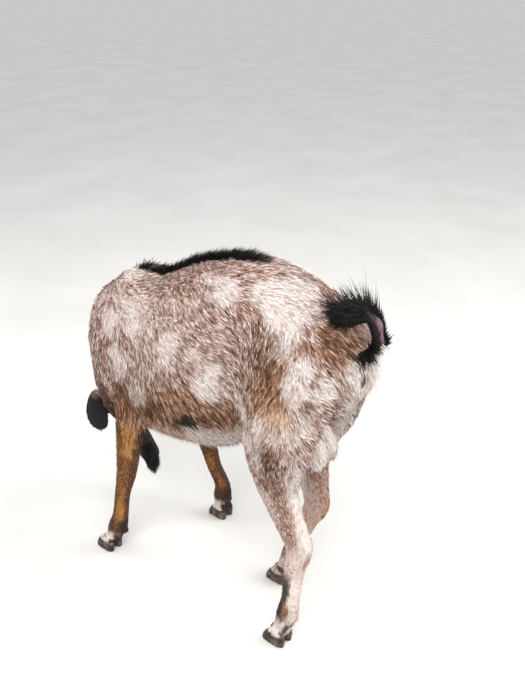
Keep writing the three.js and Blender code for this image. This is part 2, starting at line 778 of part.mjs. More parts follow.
const pieces = new Map();
const keep = (name, solid, color, roughness = 0.85) => pieces.set(name, { solid, color, roughness });

// Each leg parts from the trunk below the elbow or the flank
const legBlocks = {
  fore_left: [[-260, -200, -10], [-60, -36, 326]],
  fore_right: [[-194, 36, -10], [-20, 200, 326]],
  hind_left: [[112, -220, -10], [420, -27, 404]],
  hind_right: [[60, 27, -10], [420, 220, 404]],
};

let rest = whole;
const clawSolids = {};
for (const [name, joints] of Object.entries(legs)) {
  const [low, high] = legBlocks[name];
  let leg = rest.intersect(box(low, high));
  const g = GAP;
  rest = rest.subtract(box(low.map((v) => v - g), high.map((v) => v + g)));
  for (const s of [1, -1]) {
    clawSolids[`${name}_${s > 0 ? "a" : "b"}`] = claw(joints.toe, s);
    leg = leg.subtract(claw(joints.toe, s, GAP));
  }
  const trimmed = leg.intersect(box([-900, -900, CLAW_HEIGHT * 0.62], [900, 900, 900]));
  keep(`leg_${name}`, largest(trimmed), TAN);
}

// The head parts behind the jaw and the neck in front of the shoulders
const throat = place(mixPoint(POLL, NOSE, -0.02));
const throatWay = place(NOSE).sub(place(POLL)).normalize();
const collar = place([276, 0, 450]);
const collarWay = direction(-0.957, 0, -0.292);
const headRoom = box([-480, -200, -10], [-226, 200, 420]).add(box([-480, -200, -10], [-150, 200, 270]));
const neckRoom = box([-480, -200, 200], [-226, 200, 700]);
const headPart = largest(rest.intersect(headRoom).intersect(beyond(throat, throatWay)));
rest = rest.subtract(headRoom.subtract(beyond(throat, throatWay.clone().negate())));
const neckPart = largest(rest.intersect(neckRoom).intersect(beyond(collar, collarWay)));
rest = largest(rest.subtract(neckRoom.subtract(beyond(collar, collarWay.clone().negate()))));

// Tail
const tailAt = place([-330, 0, 580]);
const tailWay = direction(0.55, 0, 0.83);
const fringed = joined([tailCore, ...tailLocks()]);
const trunkGrown = loft(trunkRows, { ...trunkForm, grow: GAP });
const freeTail = fringed.subtract(beyond(tailAt, tailWay.clone().negate())).subtract(trunkGrown);
const tailPart = largest(freeTail);
keep("tail", tailPart, BLACK, 0.6);

keep("torso", rest, COAT);
keep("neck", neckPart, COAT);
keep("head", headPart, TAN);
const nearby = [
  trunkGrown,
  hindleg(legs.hind_left, GAP),
  hindleg(legs.hind_right, GAP),
];
const scrotum = scrotumSolid().subtract(joined(nearby));
keep("scrotum", largest(scrotum), LIGHT);
const headGrown = inPlace(headSolid(GAP)).add(loft(neckRows, { ...neckForm, grow: GAP }));
for (const s of [1, -1]) {
  const ear = earSolid(s).subtract(headGrown);
  keep(`ear_${s > 0 ? "left" : "right"}`, largest(ear), BLACK, 0.5);
}
for (const s of [1, -1]) {
  const sideName = s > 0 ? "left" : "right";
  const centre = new THREE.Vector3(EYE_AT[0], s * EYE_AT[1], EYE_AT[2]);
  keep(`eye_${sideName}`, inPlace(ball(centre, [EYE_RADIUS, EYE_RADIUS, EYE_RADIUS], 7)), BLACK, 0.1);
}
for (const [name, solid] of Object.entries(clawSolids)) keep(`claw_${name}`, solid, HORN, 0.5);

const root = new THREE.Group();
for (const [name, { solid, color, roughness }] of pieces) {
  const material = new THREE.MeshStandardMaterial({ color, roughness, metalness: 0 });
  const geometry = geometryOf(solid).translate(-CENTRE[0], -CENTRE[1], 0);
  const mesh = new THREE.Mesh(geometry, material);
  mesh.name = name;
  root.add(mesh);
}

export default root;
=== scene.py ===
"""Nubian goat, standing to graze: its skin, coat, hair, face and feet, dressed over the frame."""

import math
from contextlib import contextmanager

import bpy
import numpy as np
from mathutils import Matrix, Vector
from mathutils.kdtree import KDTree


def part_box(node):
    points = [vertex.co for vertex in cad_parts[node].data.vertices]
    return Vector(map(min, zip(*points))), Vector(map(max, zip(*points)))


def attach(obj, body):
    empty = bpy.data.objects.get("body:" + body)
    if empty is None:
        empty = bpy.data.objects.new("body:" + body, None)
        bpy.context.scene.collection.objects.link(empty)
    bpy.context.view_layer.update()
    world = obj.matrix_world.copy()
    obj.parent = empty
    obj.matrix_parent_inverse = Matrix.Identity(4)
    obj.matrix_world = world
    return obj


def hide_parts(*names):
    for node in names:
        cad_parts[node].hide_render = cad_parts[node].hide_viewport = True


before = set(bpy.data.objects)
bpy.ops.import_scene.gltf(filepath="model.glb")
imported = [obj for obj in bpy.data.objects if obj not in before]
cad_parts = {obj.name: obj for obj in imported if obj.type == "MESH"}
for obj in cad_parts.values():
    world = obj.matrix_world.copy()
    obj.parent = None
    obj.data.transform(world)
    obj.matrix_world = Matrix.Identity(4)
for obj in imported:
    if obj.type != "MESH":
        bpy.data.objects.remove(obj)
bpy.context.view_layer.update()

bl_info = {
    "name": "Nubian Goat",
    "version": (1, 0, 0),
    "blender": (4, 5, 0),
    "location": "View3D > Sidebar > Goat",
    "description": "Dresses a standing goat in skin, coat, hair and horn",
    "category": "Add Mesh",
}

BODY = "root"
LEGS = ("fore_left", "fore_right", "hind_left", "hind_right")
SKIN_NODES = ("torso", "neck", "head", "scrotum") + tuple(f"leg_{leg}" for leg in LEGS)
EAR_NODES = ("ear_left", "ear_right")
# Millimetres from the middle of the floor to the body's middle plane, towards its right
MIDDLE = 4


def at(forward, left, height):
    """A point of the body, given in millimetres ahead of, left of and above the middle of the floor."""
    return Vector((-forward, -left + MIDDLE, height)) / 1000


# Joints of each leg, from the shoulder or hip down to the toe
JOINTS = {
    "fore_left": [at(196, 66, 470), at(142, 78, 352), at(160, 92, 208),
                  at(187, 109, 66), at(208, 116, 10)],
    "fore_right": [at(186, -66, 470), at(130, -76, 352), at(118, -90, 208),
                   at(90, -104, 66), at(95, -108, 10)],
    "hind_left": [at(-208, 58, 560), at(-168, 78, 402), at(-246, 62, 205),
                  at(-239, 87, 76), at(-226, 92, 10)],
    "hind_right": [at(-204, -58, 560), at(-150, -76, 402), at(-200, -52, 205),
                   at(-150, -42, 76), at(-132, -33, 10)],
}
POLL = at(330, -25, 292)
NOSE = at(285, -78, 96)
HEAD_TURN = math.radians(24)
# The head's length in its own units, and how many millimetres one of them is
HEAD_LONG = 238
HEAD_SIZE = 0.92
TAIL_LINE = [at(-285, 0, 528), at(-318, 0, 566), at(-341, 0, 596), at(-336, 0, 628), at(-310, 0, 643),
             at(-282, 0, 640), at(-262, 0, 632)]
TAIL_RADII = [0.016, 0.012, 0.0095, 0.0085, 0.0075, 0.006, 0.003]
CLAW_NODES = tuple(f"claw_{leg}_{side}" for leg in LEGS for side in "ab")
EYE_NODES = ("eye_left", "eye_right")
EYE_BALL = 11.5
# Height above the floor where the hair of the feet meets the horn of the claws
CORONET = 0.024
SHEATH_TIP = at(62, 0, 286)

# The photograph's camera, in the frame of the part
CAMERA_AT = Vector((0.866, -0.887, 1.103))
CAMERA_AHEAD = Vector((-0.6425, 0.766, 0)).normalized()
CAMERA_PITCH = math.radians(26.68)
CAMERA_ROLL = math.radians(-0.84)
FOCAL_PIXELS = 776.3
PHOTO_WIDE, PHOTO_HIGH = 525, 700
SENSOR = 0.036


def beside(points):
    """How far right of the body's middle plane each point lies."""
    return points[:, 1] - MIDDLE / 1000


def camera_axes():
    """The camera's right, up and ahead directions."""
    right = CAMERA_AHEAD.cross(Vector((0, 0, 1))).normalized()
    ahead = CAMERA_AHEAD * math.cos(CAMERA_PITCH) - Vector((0, 0, math.sin(CAMERA_PITCH)))
    up = right.cross(ahead)
    cos, sin = math.cos(CAMERA_ROLL), math.sin(CAMERA_ROLL)
    return right * cos + up * sin, up * cos - right * sin, ahead


def head_axes():
    """The head's own directions: from the poll to the nose, to its left, and out of the forehead."""
    along = np.array((NOSE - POLL).normalized())
    face = np.array([-math.cos(HEAD_TURN), math.sin(HEAD_TURN), 0.0])
    face -= along * (face @ along)
    face /= np.linalg.norm(face)
    return np.array([along, np.cross(face, along), face])


def to_head(points):
    """Points of the body in the head's own units."""
    return (points - np.array(POLL)) @ head_axes().T * (1000 / HEAD_SIZE)


def from_head(points):
    """Points of the head's own units in the frame of the body."""
    return points @ head_axes() * (HEAD_SIZE / 1000) + np.array(POLL)


def to_pixels(points):
    """Where points of the body fall in the photograph, in its pixels."""
    right, up, ahead = (np.array(axis) for axis in camera_axes())
    offset = points - np.array(CAMERA_AT)
    depth = offset @ ahead
    across = PHOTO_WIDE / 2 + FOCAL_PIXELS * (offset @ right) / depth
    return across, PHOTO_HIGH / 2 - FOCAL_PIXELS * (offset @ up) / depth


def smoothstep(low, high, value):
    t = np.clip((value - low) / (high - low), 0, 1)
    return t * t * (3 - 2 * t)


def unit(vectors):
    return vectors / np.maximum(np.linalg.norm(vectors, axis=1, keepdims=True), 1e-9)


def wander(points, scale, seed):
    """A smooth field between about -1 and 1 that wanders over a distance of scale metres."""
    rng = np.random.default_rng(seed)
    total = np.zeros(len(points))
    for _ in range(6):
        wave = rng.normal(size=3) * 2.2 / scale
        total += np.sin(points @ wave + rng.uniform(0, 6.3))
    return total / 3.2


def tone(red, green, blue):
    """A colour given in screen values from 0 to 255, as the shader's linear value."""
    shares = [value / 255 for value in (red, green, blue)]
    return (*(((v + 0.055) / 1.055) ** 2.4 if v > 10 / 255 else v / 12.92 for v in shares), 1)


def corners_of(name):
    """The low and high corners of a node's box."""
    return (np.array(corner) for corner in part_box(name))


def bones():
    """Lines that carry the coat: from, to, the flesh's radius at each end, region, hair's lengths."""
    rows = []

    def add(start, end, r0, r1, region, hair0, hair1):
        rows.append((np.array(start), np.array(end), r0, r1, region, hair0, hair1))

    add(at(300, 0, 450), at(200, 0, 452), 0.06, 0.125, "trunk", 0.0145, 0.0145)
    add(at(200, 0, 452), at(25, 0, 465), 0.125, 0.150, "trunk", 0.0145, 0.0145)
    add(at(25, 0, 465), at(-205, 0, 530), 0.150, 0.125, "trunk", 0.0145, 0.014)
    add(at(-205, 0, 530), at(-290, 0, 525), 0.125, 0.07, "trunk", 0.014, 0.014)
    add(POLL + (at(0, 0, 0) - at(12, 0, -30)), at(250, 0, 450), 0.05, 0.09, "neck", 0.012, 0.017)
    add(NOSE, POLL, 0.02, 0.05, "head", 0.0045, 0.009)
    for leg in LEGS:
        top, bend, knee, fetlock, toe = JOINTS[leg]
        fore = leg.startswith("fore")
        add(top, bend, 0.055 if fore else 0.075, 0.04 if fore else 0.062, "thigh", 0.0145, 0.014)
        add(bend, knee, 0.036 if fore else 0.05, 0.02, "leg", 0.0135, 0.008)
        add(knee, fetlock, 0.018, 0.016, "cannon", 0.008, 0.008)
        add(fetlock, toe, 0.017, 0.018, "foot", 0.009, 0.007)
    for k in range(len(TAIL_LINE) - 1):
        add(TAIL_LINE[k], TAIL_LINE[k + 1], TAIL_RADII[k], TAIL_RADII[k + 1], "tail", 0.012, 0.02)
    low, high = corners_of("scrotum")
    middle = (low + high) / 2
    add(middle + [0, 0, 0.03], [middle[0], middle[1], low[2] + 0.025], 0.03, 0.028, "scrotum", 0.008, 0.009)
    return rows


REGIONS = ("trunk", "neck", "head", "thigh", "leg", "cannon", "foot", "tail", "scrotum")
# How far the skin lies inside the outline of the coat, for each region
COAT_DEPTH = {"trunk": 0.0045, "neck": 0.0045, "head": 0.0018, "thigh": 0.0035, "leg": 0.0015,
              "cannon": 0.0006, "foot": 0.001, "tail": 0.0, "scrotum": 0.002}


def survey(points):
    """Each point's share in every region, the lie of its hair and the hair's length."""
    rows = bones()
    ratio = np.empty((len(rows), len(points)), np.float32)
    hair = np.empty_like(ratio)
    for k, (start, end, r0, r1, _, h0, h1) in enumerate(rows):
        line = end - start
        t = np.clip((points - start) @ line / (line @ line), 0, 1)
        gap = np.linalg.norm(points - start - t[:, None] * line, axis=1)
        ratio[k] = gap / (r0 + (r1 - r0) * t)
        hair[k] = h0 + (h1 - h0) * t
    share = np.exp(-9 * (ratio - ratio.min(0)))
    share /= share.sum(0)
    lie = sum(share[k][:, None] * unit((rows[k][1] - rows[k][0])[None]) for k in range(len(rows)))
    regions = {name: np.zeros(len(points)) for name in REGIONS}
    for k, row in enumerate(rows):
        regions[row[4]] += share[k]
    return regions, lie, (share * hair).sum(0)


# Small helpers for objects and meshes

def choose(*objects):
    """Selects only the given objects and makes the first one active."""
    bpy.ops.object.select_all(action="DESELECT")
    for one in objects:
        one.select_set(True)
    bpy.context.view_layer.objects.active = objects[0]


@contextmanager
def whole_mesh_in_edit(piece):
    """Edit mode with the whole mesh of one piece selected."""
    choose(piece)
    bpy.ops.object.mode_set(mode="EDIT")
    bpy.ops.mesh.select_all(action="SELECT")
    yield
    bpy.ops.object.mode_set(mode="OBJECT")


def apply_modifier(piece, kind, **settings):
    choose(piece)
    modifier = piece.modifiers.new(kind.title(), kind)
    for key, value in settings.items():
        setattr(modifier, key, value)
    bpy.ops.object.modifier_apply(modifier=modifier.name)


def copy_of(nodes, name):
    """One object with its own mesh, made from copies of frame nodes with their points merged."""
    copies = []
    for node in nodes:
        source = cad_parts[node]
        copy = source.copy()
        copy.data = source.data.copy()
        copy.parent = None
        for key in list(copy.keys()):
            del copy[key]
        bpy.context.scene.collection.objects.link(copy)
        copies.append(copy)
    choose(*copies)
    if len(copies) > 1:
        bpy.ops.object.join()
    piece = bpy.context.object
    piece.name = piece.data.name = name
    with whole_mesh_in_edit(piece):
        bpy.ops.mesh.remove_doubles(threshold=0.00001)
    return piece


def largest_part(piece):
    """Keeps only the largest closed surface of a piece."""
    with whole_mesh_in_edit(piece):
        bpy.ops.mesh.separate(type="LOOSE")
    parts = sorted(bpy.context.selected_objects, key=lambda part: len(part.data.vertices))
    name = piece.name
    kept = parts.pop()
    for part in parts:
        bpy.data.objects.remove(part)
    kept.name = kept.data.name = name
    return kept


def triples(elements, key):
    """One vector a row, read from the elements of a mesh."""
    flat = np.empty(len(elements) * 3, np.float32)
    elements.foreach_get(key, flat)
    return flat.reshape(-1, 3).astype(float)


def points_of(piece):
    return triples(piece.data.vertices, "co")


def normals_of(piece):
    return triples(piece.data.vertex_normals, "vector")


def set_points(piece, points):
    piece.data.vertices.foreach_set("co", points.astype(np.float32).ravel())
    piece.data.update()


def weight(piece, name, values, levels=40):
    """A vertex group with the given weights, rounded to a number of levels."""
    group = piece.vertex_groups.new(name=name)
    steps = np.round(values * levels).astype(int)
    for step in range(1, levels + 1):
        chosen = np.flatnonzero(steps == step)
        if len(chosen):
            group.add(chosen.tolist(), step / levels, "REPLACE")


def mesh_from(name, points, triangles):
    """An object with a smooth-shaded mesh of triangles."""
    mesh = bpy.data.meshes.new(name)
    mesh.vertices.add(len(points))
    mesh.vertices.foreach_set("co", points.astype(np.float32).ravel())
    mesh.loops.add(triangles.size)
    mesh.loops.foreach_set("vertex_index", triangles.astype(np.int32).ravel())
    mesh.polygons.add(len(triangles))
    mesh.polygons.foreach_set("loop_start", np.arange(0, triangles.size, 3, dtype=np.int32))
    mesh.polygons.foreach_set("use_smooth", np.ones(len(triangles), bool))
    mesh.update(calc_edges=True)
    piece = bpy.data.objects.new(name, mesh)
    bpy.context.scene.collection.objects.link(piece)
    return piece


def finish_piece(piece, material, replaces=()):
    """Gives a piece its material and tells the frame what it is."""
    piece.data.materials.clear()
    piece.data.materials.append(material)
    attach(piece, BODY)
    if replaces:
        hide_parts(*replaces)
    return piece


# Pale spots, named by where they show in the photograph. Each has its middle across and down and its
# half width and height in pixels, its tilt in degrees, and its strength
PALE_SPOTS = {
    "withers": (135, 269, 14, 8, -25, 0.9),
    "shoulder": (110, 318, 8, 14, 12, 0.75),
    "shoulder_inner": (133, 319, 8, 16, -5, 0.75),
    "neck_side": (118, 361, 7, 15, -22, 0.8),
    "elbow": (138, 394, 9, 11, -10, 0.45),
    "upper_barrel": (226, 291, 15, 15, -20, 0.78),
    "upper_barrel_tail": (214, 281, 12, 8, 30, 0.5),
    "mid_barrel": (168, 348, 11, 17, 12, 0.85),
    "mid_barrel_small": (191, 356, 8, 8, 0, 0.75),
    "low_barrel_top": (211, 372, 11, 11, 0, 0.8),
    "low_barrel": (207, 387, 14, 15, 20, 0.9),
    "flank_fold": (241, 408, 4, 18, -22, 0.8),
    "thigh_top": (303, 372, 12, 13, -30, 0.9),
    "thigh": (296, 390, 14, 19, 15, 0.9),
    "thigh_back": (324, 392, 12, 11, -35, 0.9),
    "stifle": (257, 424, 5, 12, -6, 0.85),
    "stifle_low": (256, 452, 6, 16, 0, 0.45),
    "hip_crown": (302, 266, 28, 11, 12, 0.25),
}
# Outlines in pixels of the photograph
HIP_PATCH = [(250, 285), (268, 279), (296, 276), (318, 282), (323, 296), (316, 314), (304, 334),
             (293, 351), (288, 360), (280, 346), (271, 330), (262, 312), (252, 303)]
BELLY_EDGE = [(186, 428), (215, 431), (246, 428), (250, 452), (215, 452), (190, 446)]
PERINEUM = [(347, 366), (364, 364), (374, 352), (392, 343), (400, 362), (384, 380), (374, 392),
            (362, 401), (351, 393), (346, 380)]
BUTTOCK_SEAM = [(351, 393), (362, 401), (352, 424), (338, 440), (330, 432), (342, 412)]
GASKIN_STRIPE = [(297, 460), (305, 478), (303, 500), (306, 520), (314, 540), (318, 556), (302, 560),
                 (298, 538), (294, 514), (289, 496), (291, 478)]
GASKIN_BAND = [(254, 446), (272, 450), (280, 476), (287, 500), (292, 524), (296, 548), (286, 552),
               (279, 524), (270, 500), (262, 478)]
FAR_GASKIN = [(302, 462), (326, 468), (334, 500), (324, 526), (308, 530), (304, 496)]
# Dark spots, in the same way as the pale ones. The girth and the anus are dark spots; the flank's notch is
# painted shade in the hollow of the flank
DARK_SPOTS_AND_SHADE = {
    "girth": (185, 421, 14, 6, 12, 0.9),
    "anus": (364, 380, 3, 7, 12, 0.9),
    # Painted shade in the notch at the top of the flank's hollow
    "flank_notch": (251, 304, 6, 4, 0, 0.25),
}
# Browner and lighter parts of the roan coat, in the same way, with painted shade in the hollow of the flank.
# A strength above nought is browner
BROWN_ZONES_AND_SHADE = {
    "rump": (343, 342, 24, 26, 10, 0.2),
    "rump_edge": (312, 345, 12, 22, 35, 0.14),
    # Painted shade along the hollow between the barrel and the haunch
    "flank": (262, 352, 12, 40, -14, 0.18),
    "mid_barrel": (236, 350, 30, 34, 10, 0.06),
    "thigh_front": (272, 397, 20, 32, 0, 0.08),
    "thigh_low": (286, 430, 30, 20, 0, -0.34),
    "low_barrel": (196, 412, 62, 22, 4, 0.25),
    "elbow": (128, 404, 32, 20, 10, 0.22),
    "neck": (98, 350, 12, 34, -8, 0.16),
    "upper_barrel": (162, 318, 50, 24, 12, -0.1),
    "shoulder": (120, 296, 34, 40, 15, -0.16),
    "rump_top": (318, 272, 42, 22, 30, 0.28),
    "gaskin": (292, 512, 32, 52, -14, -0.22),
    "saddle": (188, 282, 52, 14, -8, 0.14),
}
# Parts where the coat turns golden
GOLD_ZONES = {
    "low_barrel": (190, 412, 70, 26, 4, 0.45),
    "elbow": (130, 410, 30, 24, 0, 0.6),
    "thigh": (272, 396, 24, 34, 0, 0.5),
    "rump": (340, 345, 24, 24, 0, 0.42),
}


def spot_share(across, down, spot, ragged):
    """How strongly each place in the photograph lies in one oval spot with a ragged, soft edge."""
    x, y, wide, high, tilt, strength = spot
    cos, sin = math.cos(math.radians(tilt)), math.sin(math.radians(tilt))
    dx, dy = across - x, down - y
    far = np.hypot((dx * cos + dy * sin) / wide, (dy * cos - dx * sin) / high)
    return strength * smoothstep(1.28, 0.72, far + 0.2 * ragged)


def outline(across, down, corners, ragged, soft=5.0):
    """One inside a closed outline of pixels and nought outside, with a soft edge."""
    nearest = np.full(len(across), 1e9)
    inside = np.zeros(len(across), bool)
    count = len(corners)
    for k in range(count):
        (x0, y0), (x1, y1) = corners[k], corners[(k + 1) % count]
        t = np.clip(((across - x0) * (x1 - x0) + (down - y0) * (y1 - y0))
                    / ((x1 - x0) ** 2 + (y1 - y0) ** 2), 0, 1)
        nearest = np.minimum(nearest, np.hypot(across - x0 - t * (x1 - x0), down - y0 - t * (y1 - y0)))
        crosses = (y0 > down) != (y1 > down)
        step = (x1 - x0) * (down - y0) / ((y1 - y0) or 1e-9) + x0
        inside ^= crosses & (across < step)
    signed = np.where(inside, nearest, -nearest)
    return smoothstep(-soft, soft, signed + 2.5 * ragged)


def facing(points, normals):
    """One where the surface faces the photograph's camera, nought where it faces away."""
    toward = unit(np.array(CAMERA_AT) - points)
    return smoothstep(-0.02, 0.25, (toward * normals).sum(1))


def trunk_marks(points, ragged):
    """Pale, black, gold and brown shares of the trunk as the photograph shows them."""
    across, down = to_pixels(points)
    pale, black, gold = (
        np.max([spot_share(across, down, spot, ragged) for spot in spots.values()], axis=0)
        for spots in (PALE_SPOTS, DARK_SPOTS_AND_SHADE, GOLD_ZONES)
    )
    for corners, amount in ((HIP_PATCH, 0.74), (BELLY_EDGE, 0.85), (PERINEUM, 1.0),
                            (BUTTOCK_SEAM, 0.7), (GASKIN_STRIPE, 0.95)):
        pale = np.maximum(pale, amount * outline(across, down, corners, ragged))
    brown = sum(spot_share(across, down, spot, 0.8 * ragged) for spot in BROWN_ZONES_AND_SHADE.values())
    for corners, amount in ((GASKIN_BAND, 0.38), (FAR_GASKIN, 0.1)):
        brown = brown + amount * outline(across, down, corners, ragged)
    return np.stack([pale, black, gold, brown])


def back_stripe(points, normals, regions, ragged):
    """The black stripe along the top of the back, from the shoulders to the hips."""
    forward, side = -points[:, 0], beside(points)
    stripe = smoothstep(0.0125, 0.0075, abs(side) + 0.002 * ragged)
    stripe *= smoothstep(-0.135, -0.105, forward) * smoothstep(0.18, 0.155, forward)
    return stripe * smoothstep(0.25, 0.75, normals[:, 2]) * regions["trunk"]


# The white spot on the near knee: its middle, from the knee joint, and its half sizes
KNEE_PATCH_AT = [-0.021, -0.008, -0.004]
KNEE_PATCH_SIZE = [0.022, 0.012, 0.019]


def leg_marks(points, normals, leg, ragged):
    """Where one leg is, and its pale, black, gold and brown shares."""
    bend, knee, fetlock = (np.array(place) for place in JOINTS[leg][1:4])
    fore, right = leg.startswith("fore"), leg.endswith("right")
    height = points[:, 2]
    close = smoothstep(0.11, 0.06, np.linalg.norm((points - (knee + fetlock) / 2)[:, :2], axis=1))
    close *= beside(points) * beside(knee[None]) > -0.0005
    start = bend[2] - 0.012 if fore else knee[2]
    below = smoothstep(start + 0.03 + 0.012 * ragged, start - 0.03, height) * close
    turned = 0.77 * normals[:, 0] + 0.64 * normals[:, 1] + 0.12 * ragged
    rear = smoothstep(0.2, 0.8, turned)
    back = smoothstep(-0.4, 0.0, turned)
    # Where a leg faces the camera; on the forelegs it carries a painted highlight
    middle = smoothstep(0.75, 0.1, abs(turned + 0.1))
    pastern = smoothstep(fetlock[2] - 0.004, fetlock[2] - 0.02, height + 0.004 * ragged)
    joint = smoothstep(0.024, 0.008, abs(height - fetlock[2] - 0.004) + 0.004 * ragged)
    at_knee = smoothstep(0.05, 0.02, abs(height - knee[2]))
    if fore:
        gold = below
        forearm = smoothstep(0.24, 0.275, height + 0.006 * ragged)
        # The middle of a foreleg that faces the camera turns lighter, a painted highlight, and its edges on
        # either side stay darker brown, painted shade
        lighter = 0.6 * forearm + 0.34 * (1 - forearm) * (1 - 0.7 * at_knee)
        brown = 0.46 - middle * lighter + 0.2 * joint
        brown += 0.08 * right + 0.12 * wander(points, 0.02, 12)
        spot = np.linalg.norm((points - knee - KNEE_PATCH_AT) / KNEE_PATCH_SIZE, axis=1)
        patch = smoothstep(1.15, 0.8, spot + 0.3 * ragged) * (not right)
        pale = 0.9 * pastern * (1 - 0.95 * back) + 0.8 * patch
        black = 0.8 * joint * (0.3 + 0.7 * back) + 0.9 * pastern * back
        black = np.maximum(black, 0.45 * rear * smoothstep(0.16, 0.1, height) * (1 - pastern))
        black = np.maximum(black, 0.6 * rear * forearm)
    else:
        cannon = smoothstep(0.17, 0.14, height)
        edge = smoothstep(0.3, 0.6, -turned)
        brown = 0.4 * at_knee * rear + 0.16 * right + 0.1 * joint - 0.2 + 0.1 * wander(points, 0.02, 12)
        pale = 0.2 + 0.55 * cannon * (1 - edge) * (1 - rear) + 0.35 * pastern * (1 - back)
        pale *= 1 - 0.8 * right
        black = 0.92 * edge * cannon * (1 - pastern) * (1 - 0.6 * right)
        black += 0.9 * pastern * back * (1 - rear)
        gold = 0.8 * at_knee * rear + 0.2 * right * (1 - pastern)
        patch = smoothstep(0.02, 0.01, abs(height - fetlock[2] - 0.012)) * (1 - right)
        patch *= smoothstep(0.0, 0.4, -turned)
        gold = np.maximum(gold, 0.65 * patch)
        brown += 0.3 * patch
        pale = pale * (1 - 0.9 * patch)
        black = black * (1 - 0.8 * patch * (1 - smoothstep(0.7, 0.9, -turned)))
    return below, np.stack([pale, black, gold, brown])


def markings(points, normals, regions, seed):
    """Pale, black, gold and brown shares of the coat at each point."""
    ragged = wander(points, 0.022, seed) + 0.6 * wander(points, 0.008, seed + 1)
    seen = facing(points, normals)
    mirrored = points * [1, -1, 1] + [0.035, 0.008, -0.02]
    other_seen = facing(mirrored, normals * [1, -1, 1]) * (points[:, 1] > 0)
    total = np.maximum(seen + other_seen, 0.001)
    near = np.where(seen > 0.3, 1, seen / total)
    shows = np.clip(seen + other_seen, 0, 1)
    marks = (near * trunk_marks(points, ragged) + (1 - near) * trunk_marks(mirrored, ragged)) * shows
    marks[3] += 0.42 + 0.06 * wander(points, 0.05, seed + 2)
    marks[1] = np.maximum(marks[1], back_stripe(points, normals, regions, ragged))
    hidden = smoothstep(0.36, 0.30, points[:, 2]) * regions["trunk"] * (1 - shows)
    marks[0] = np.maximum(marks[0], 0.7 * hidden)

    for leg in LEGS:
        below, own = leg_marks(points, normals, leg, ragged)
        marks = marks * (1 - below) + own * below
        marks[3] += 0.42 * below

    # The face is black, browner towards the poll and the cheeks
    head = regions["head"]
    reach = to_head(points)[:, 0] / HEAD_LONG
    dark = head * (0.25 + 0.75 * smoothstep(0.02, 0.42, reach + 0.08 * ragged))
    marks[1] = np.maximum(marks[1], dark)
    marks[3] += 0.3 * head
    tail = smoothstep(0.55, 0.566, points[:, 2] - 0.006 * normals[:, 1])
    marks[1] = np.maximum(marks[1], tail * smoothstep(0.3, 0.6, regions["tail"]))
    sack = regions["scrotum"]
    # The lower, far side of the scrotum turns browner and golden: painted shade
    shaded_underside = smoothstep(0.385, 0.355, points[:, 2]) * smoothstep(0.0, 0.02, points[:, 1])
    marks[0] = np.where(sack > 0.4, 0.95 - 0.5 * shaded_underside + 0.1 * ragged, marks[0])
    marks[2] = np.where(sack > 0.4, 0.7 * shaded_underside, marks[2])
    marks[3] = np.where(sack > 0.4, 0.22, marks[3])
    marks[0] *= 1 - marks[1]
    return np.clip(marks.T, 0, 1)


# Bare skin: what shows without hair, and its colour on the screen
BARE_COLOURS = {
    "tail": (100, 76, 84),
    "nose": (84, 70, 70),
    "lid": (26, 21, 21),
    "sheath": (206, 168, 158),
    "anus": (74, 58, 60),
}
ANUS_SPOT = (364, 379, 3.5, 6, 12, 1.0)
# The lines of the mouth and the chin, seen from the side: along the head and out of it, in its units
MOUTH_LINE = np.array([(160, -2), (168, -7), (180, -12), (198, -16), (222, -17), (252, -17)], float)
CHIN_LINE = np.array([(178, -34.5), (195, -34.5), (208, -35.2), (222, -31), (232, -26.5), (238, -19)], float)
MUZZLE_END = 237.8
EYE_AT = np.array([64.0, 33.0, 15.0])
EYE_WIDE, EYE_HIGH = 13.0, 7.4
NOSTRIL_AT = np.array([228.0, 17.0, 3.0])
TAIL_COUNT = 60


def eye_frame(side):
    """Where one eye looks, and the long and short directions of its opening, in the head's axes."""
    look = unit(np.array([[-0.02, side, 0.16]]))[0]
    long = unit(np.array([[1.0, 0, -0.16]]))[0]
    long = long - look * (long @ look)
    long /= np.linalg.norm(long)
    short = np.cross(look, long) * -side
    return look, long, short


def eye_opening(head, side):
    """How far each point lies from the middle of an eye's opening, with one at the lids' edge."""
    look, long, short = eye_frame(side)
    offset = head - EYE_AT * [1, side, 1]
    p, q = offset @ long / EYE_WIDE, offset @ short / EYE_HIGH
    q = q / np.clip(1 - 0.42 * p ** 2, 0.35, 1)
    share = np.hypot(p, q)
    return np.where(offset @ look > 1, share, 9.0)


def tail_place(points):
    """How far along the tail each point is, the tail's direction there and the way out of its curl."""
    line = smooth_line(TAIL_LINE, TAIL_COUNT)
    gaps = np.linalg.norm(points[:, None] - line[None], axis=2)
    nearest = np.clip(gaps.argmin(1), 1, TAIL_COUNT - 2)
    along = unit(line[nearest + 1] - line[nearest - 1])
    out = np.stack([along[:, 2], np.zeros(len(points)), -along[:, 0]], 1)
    return nearest / (TAIL_COUNT - 1), along, out


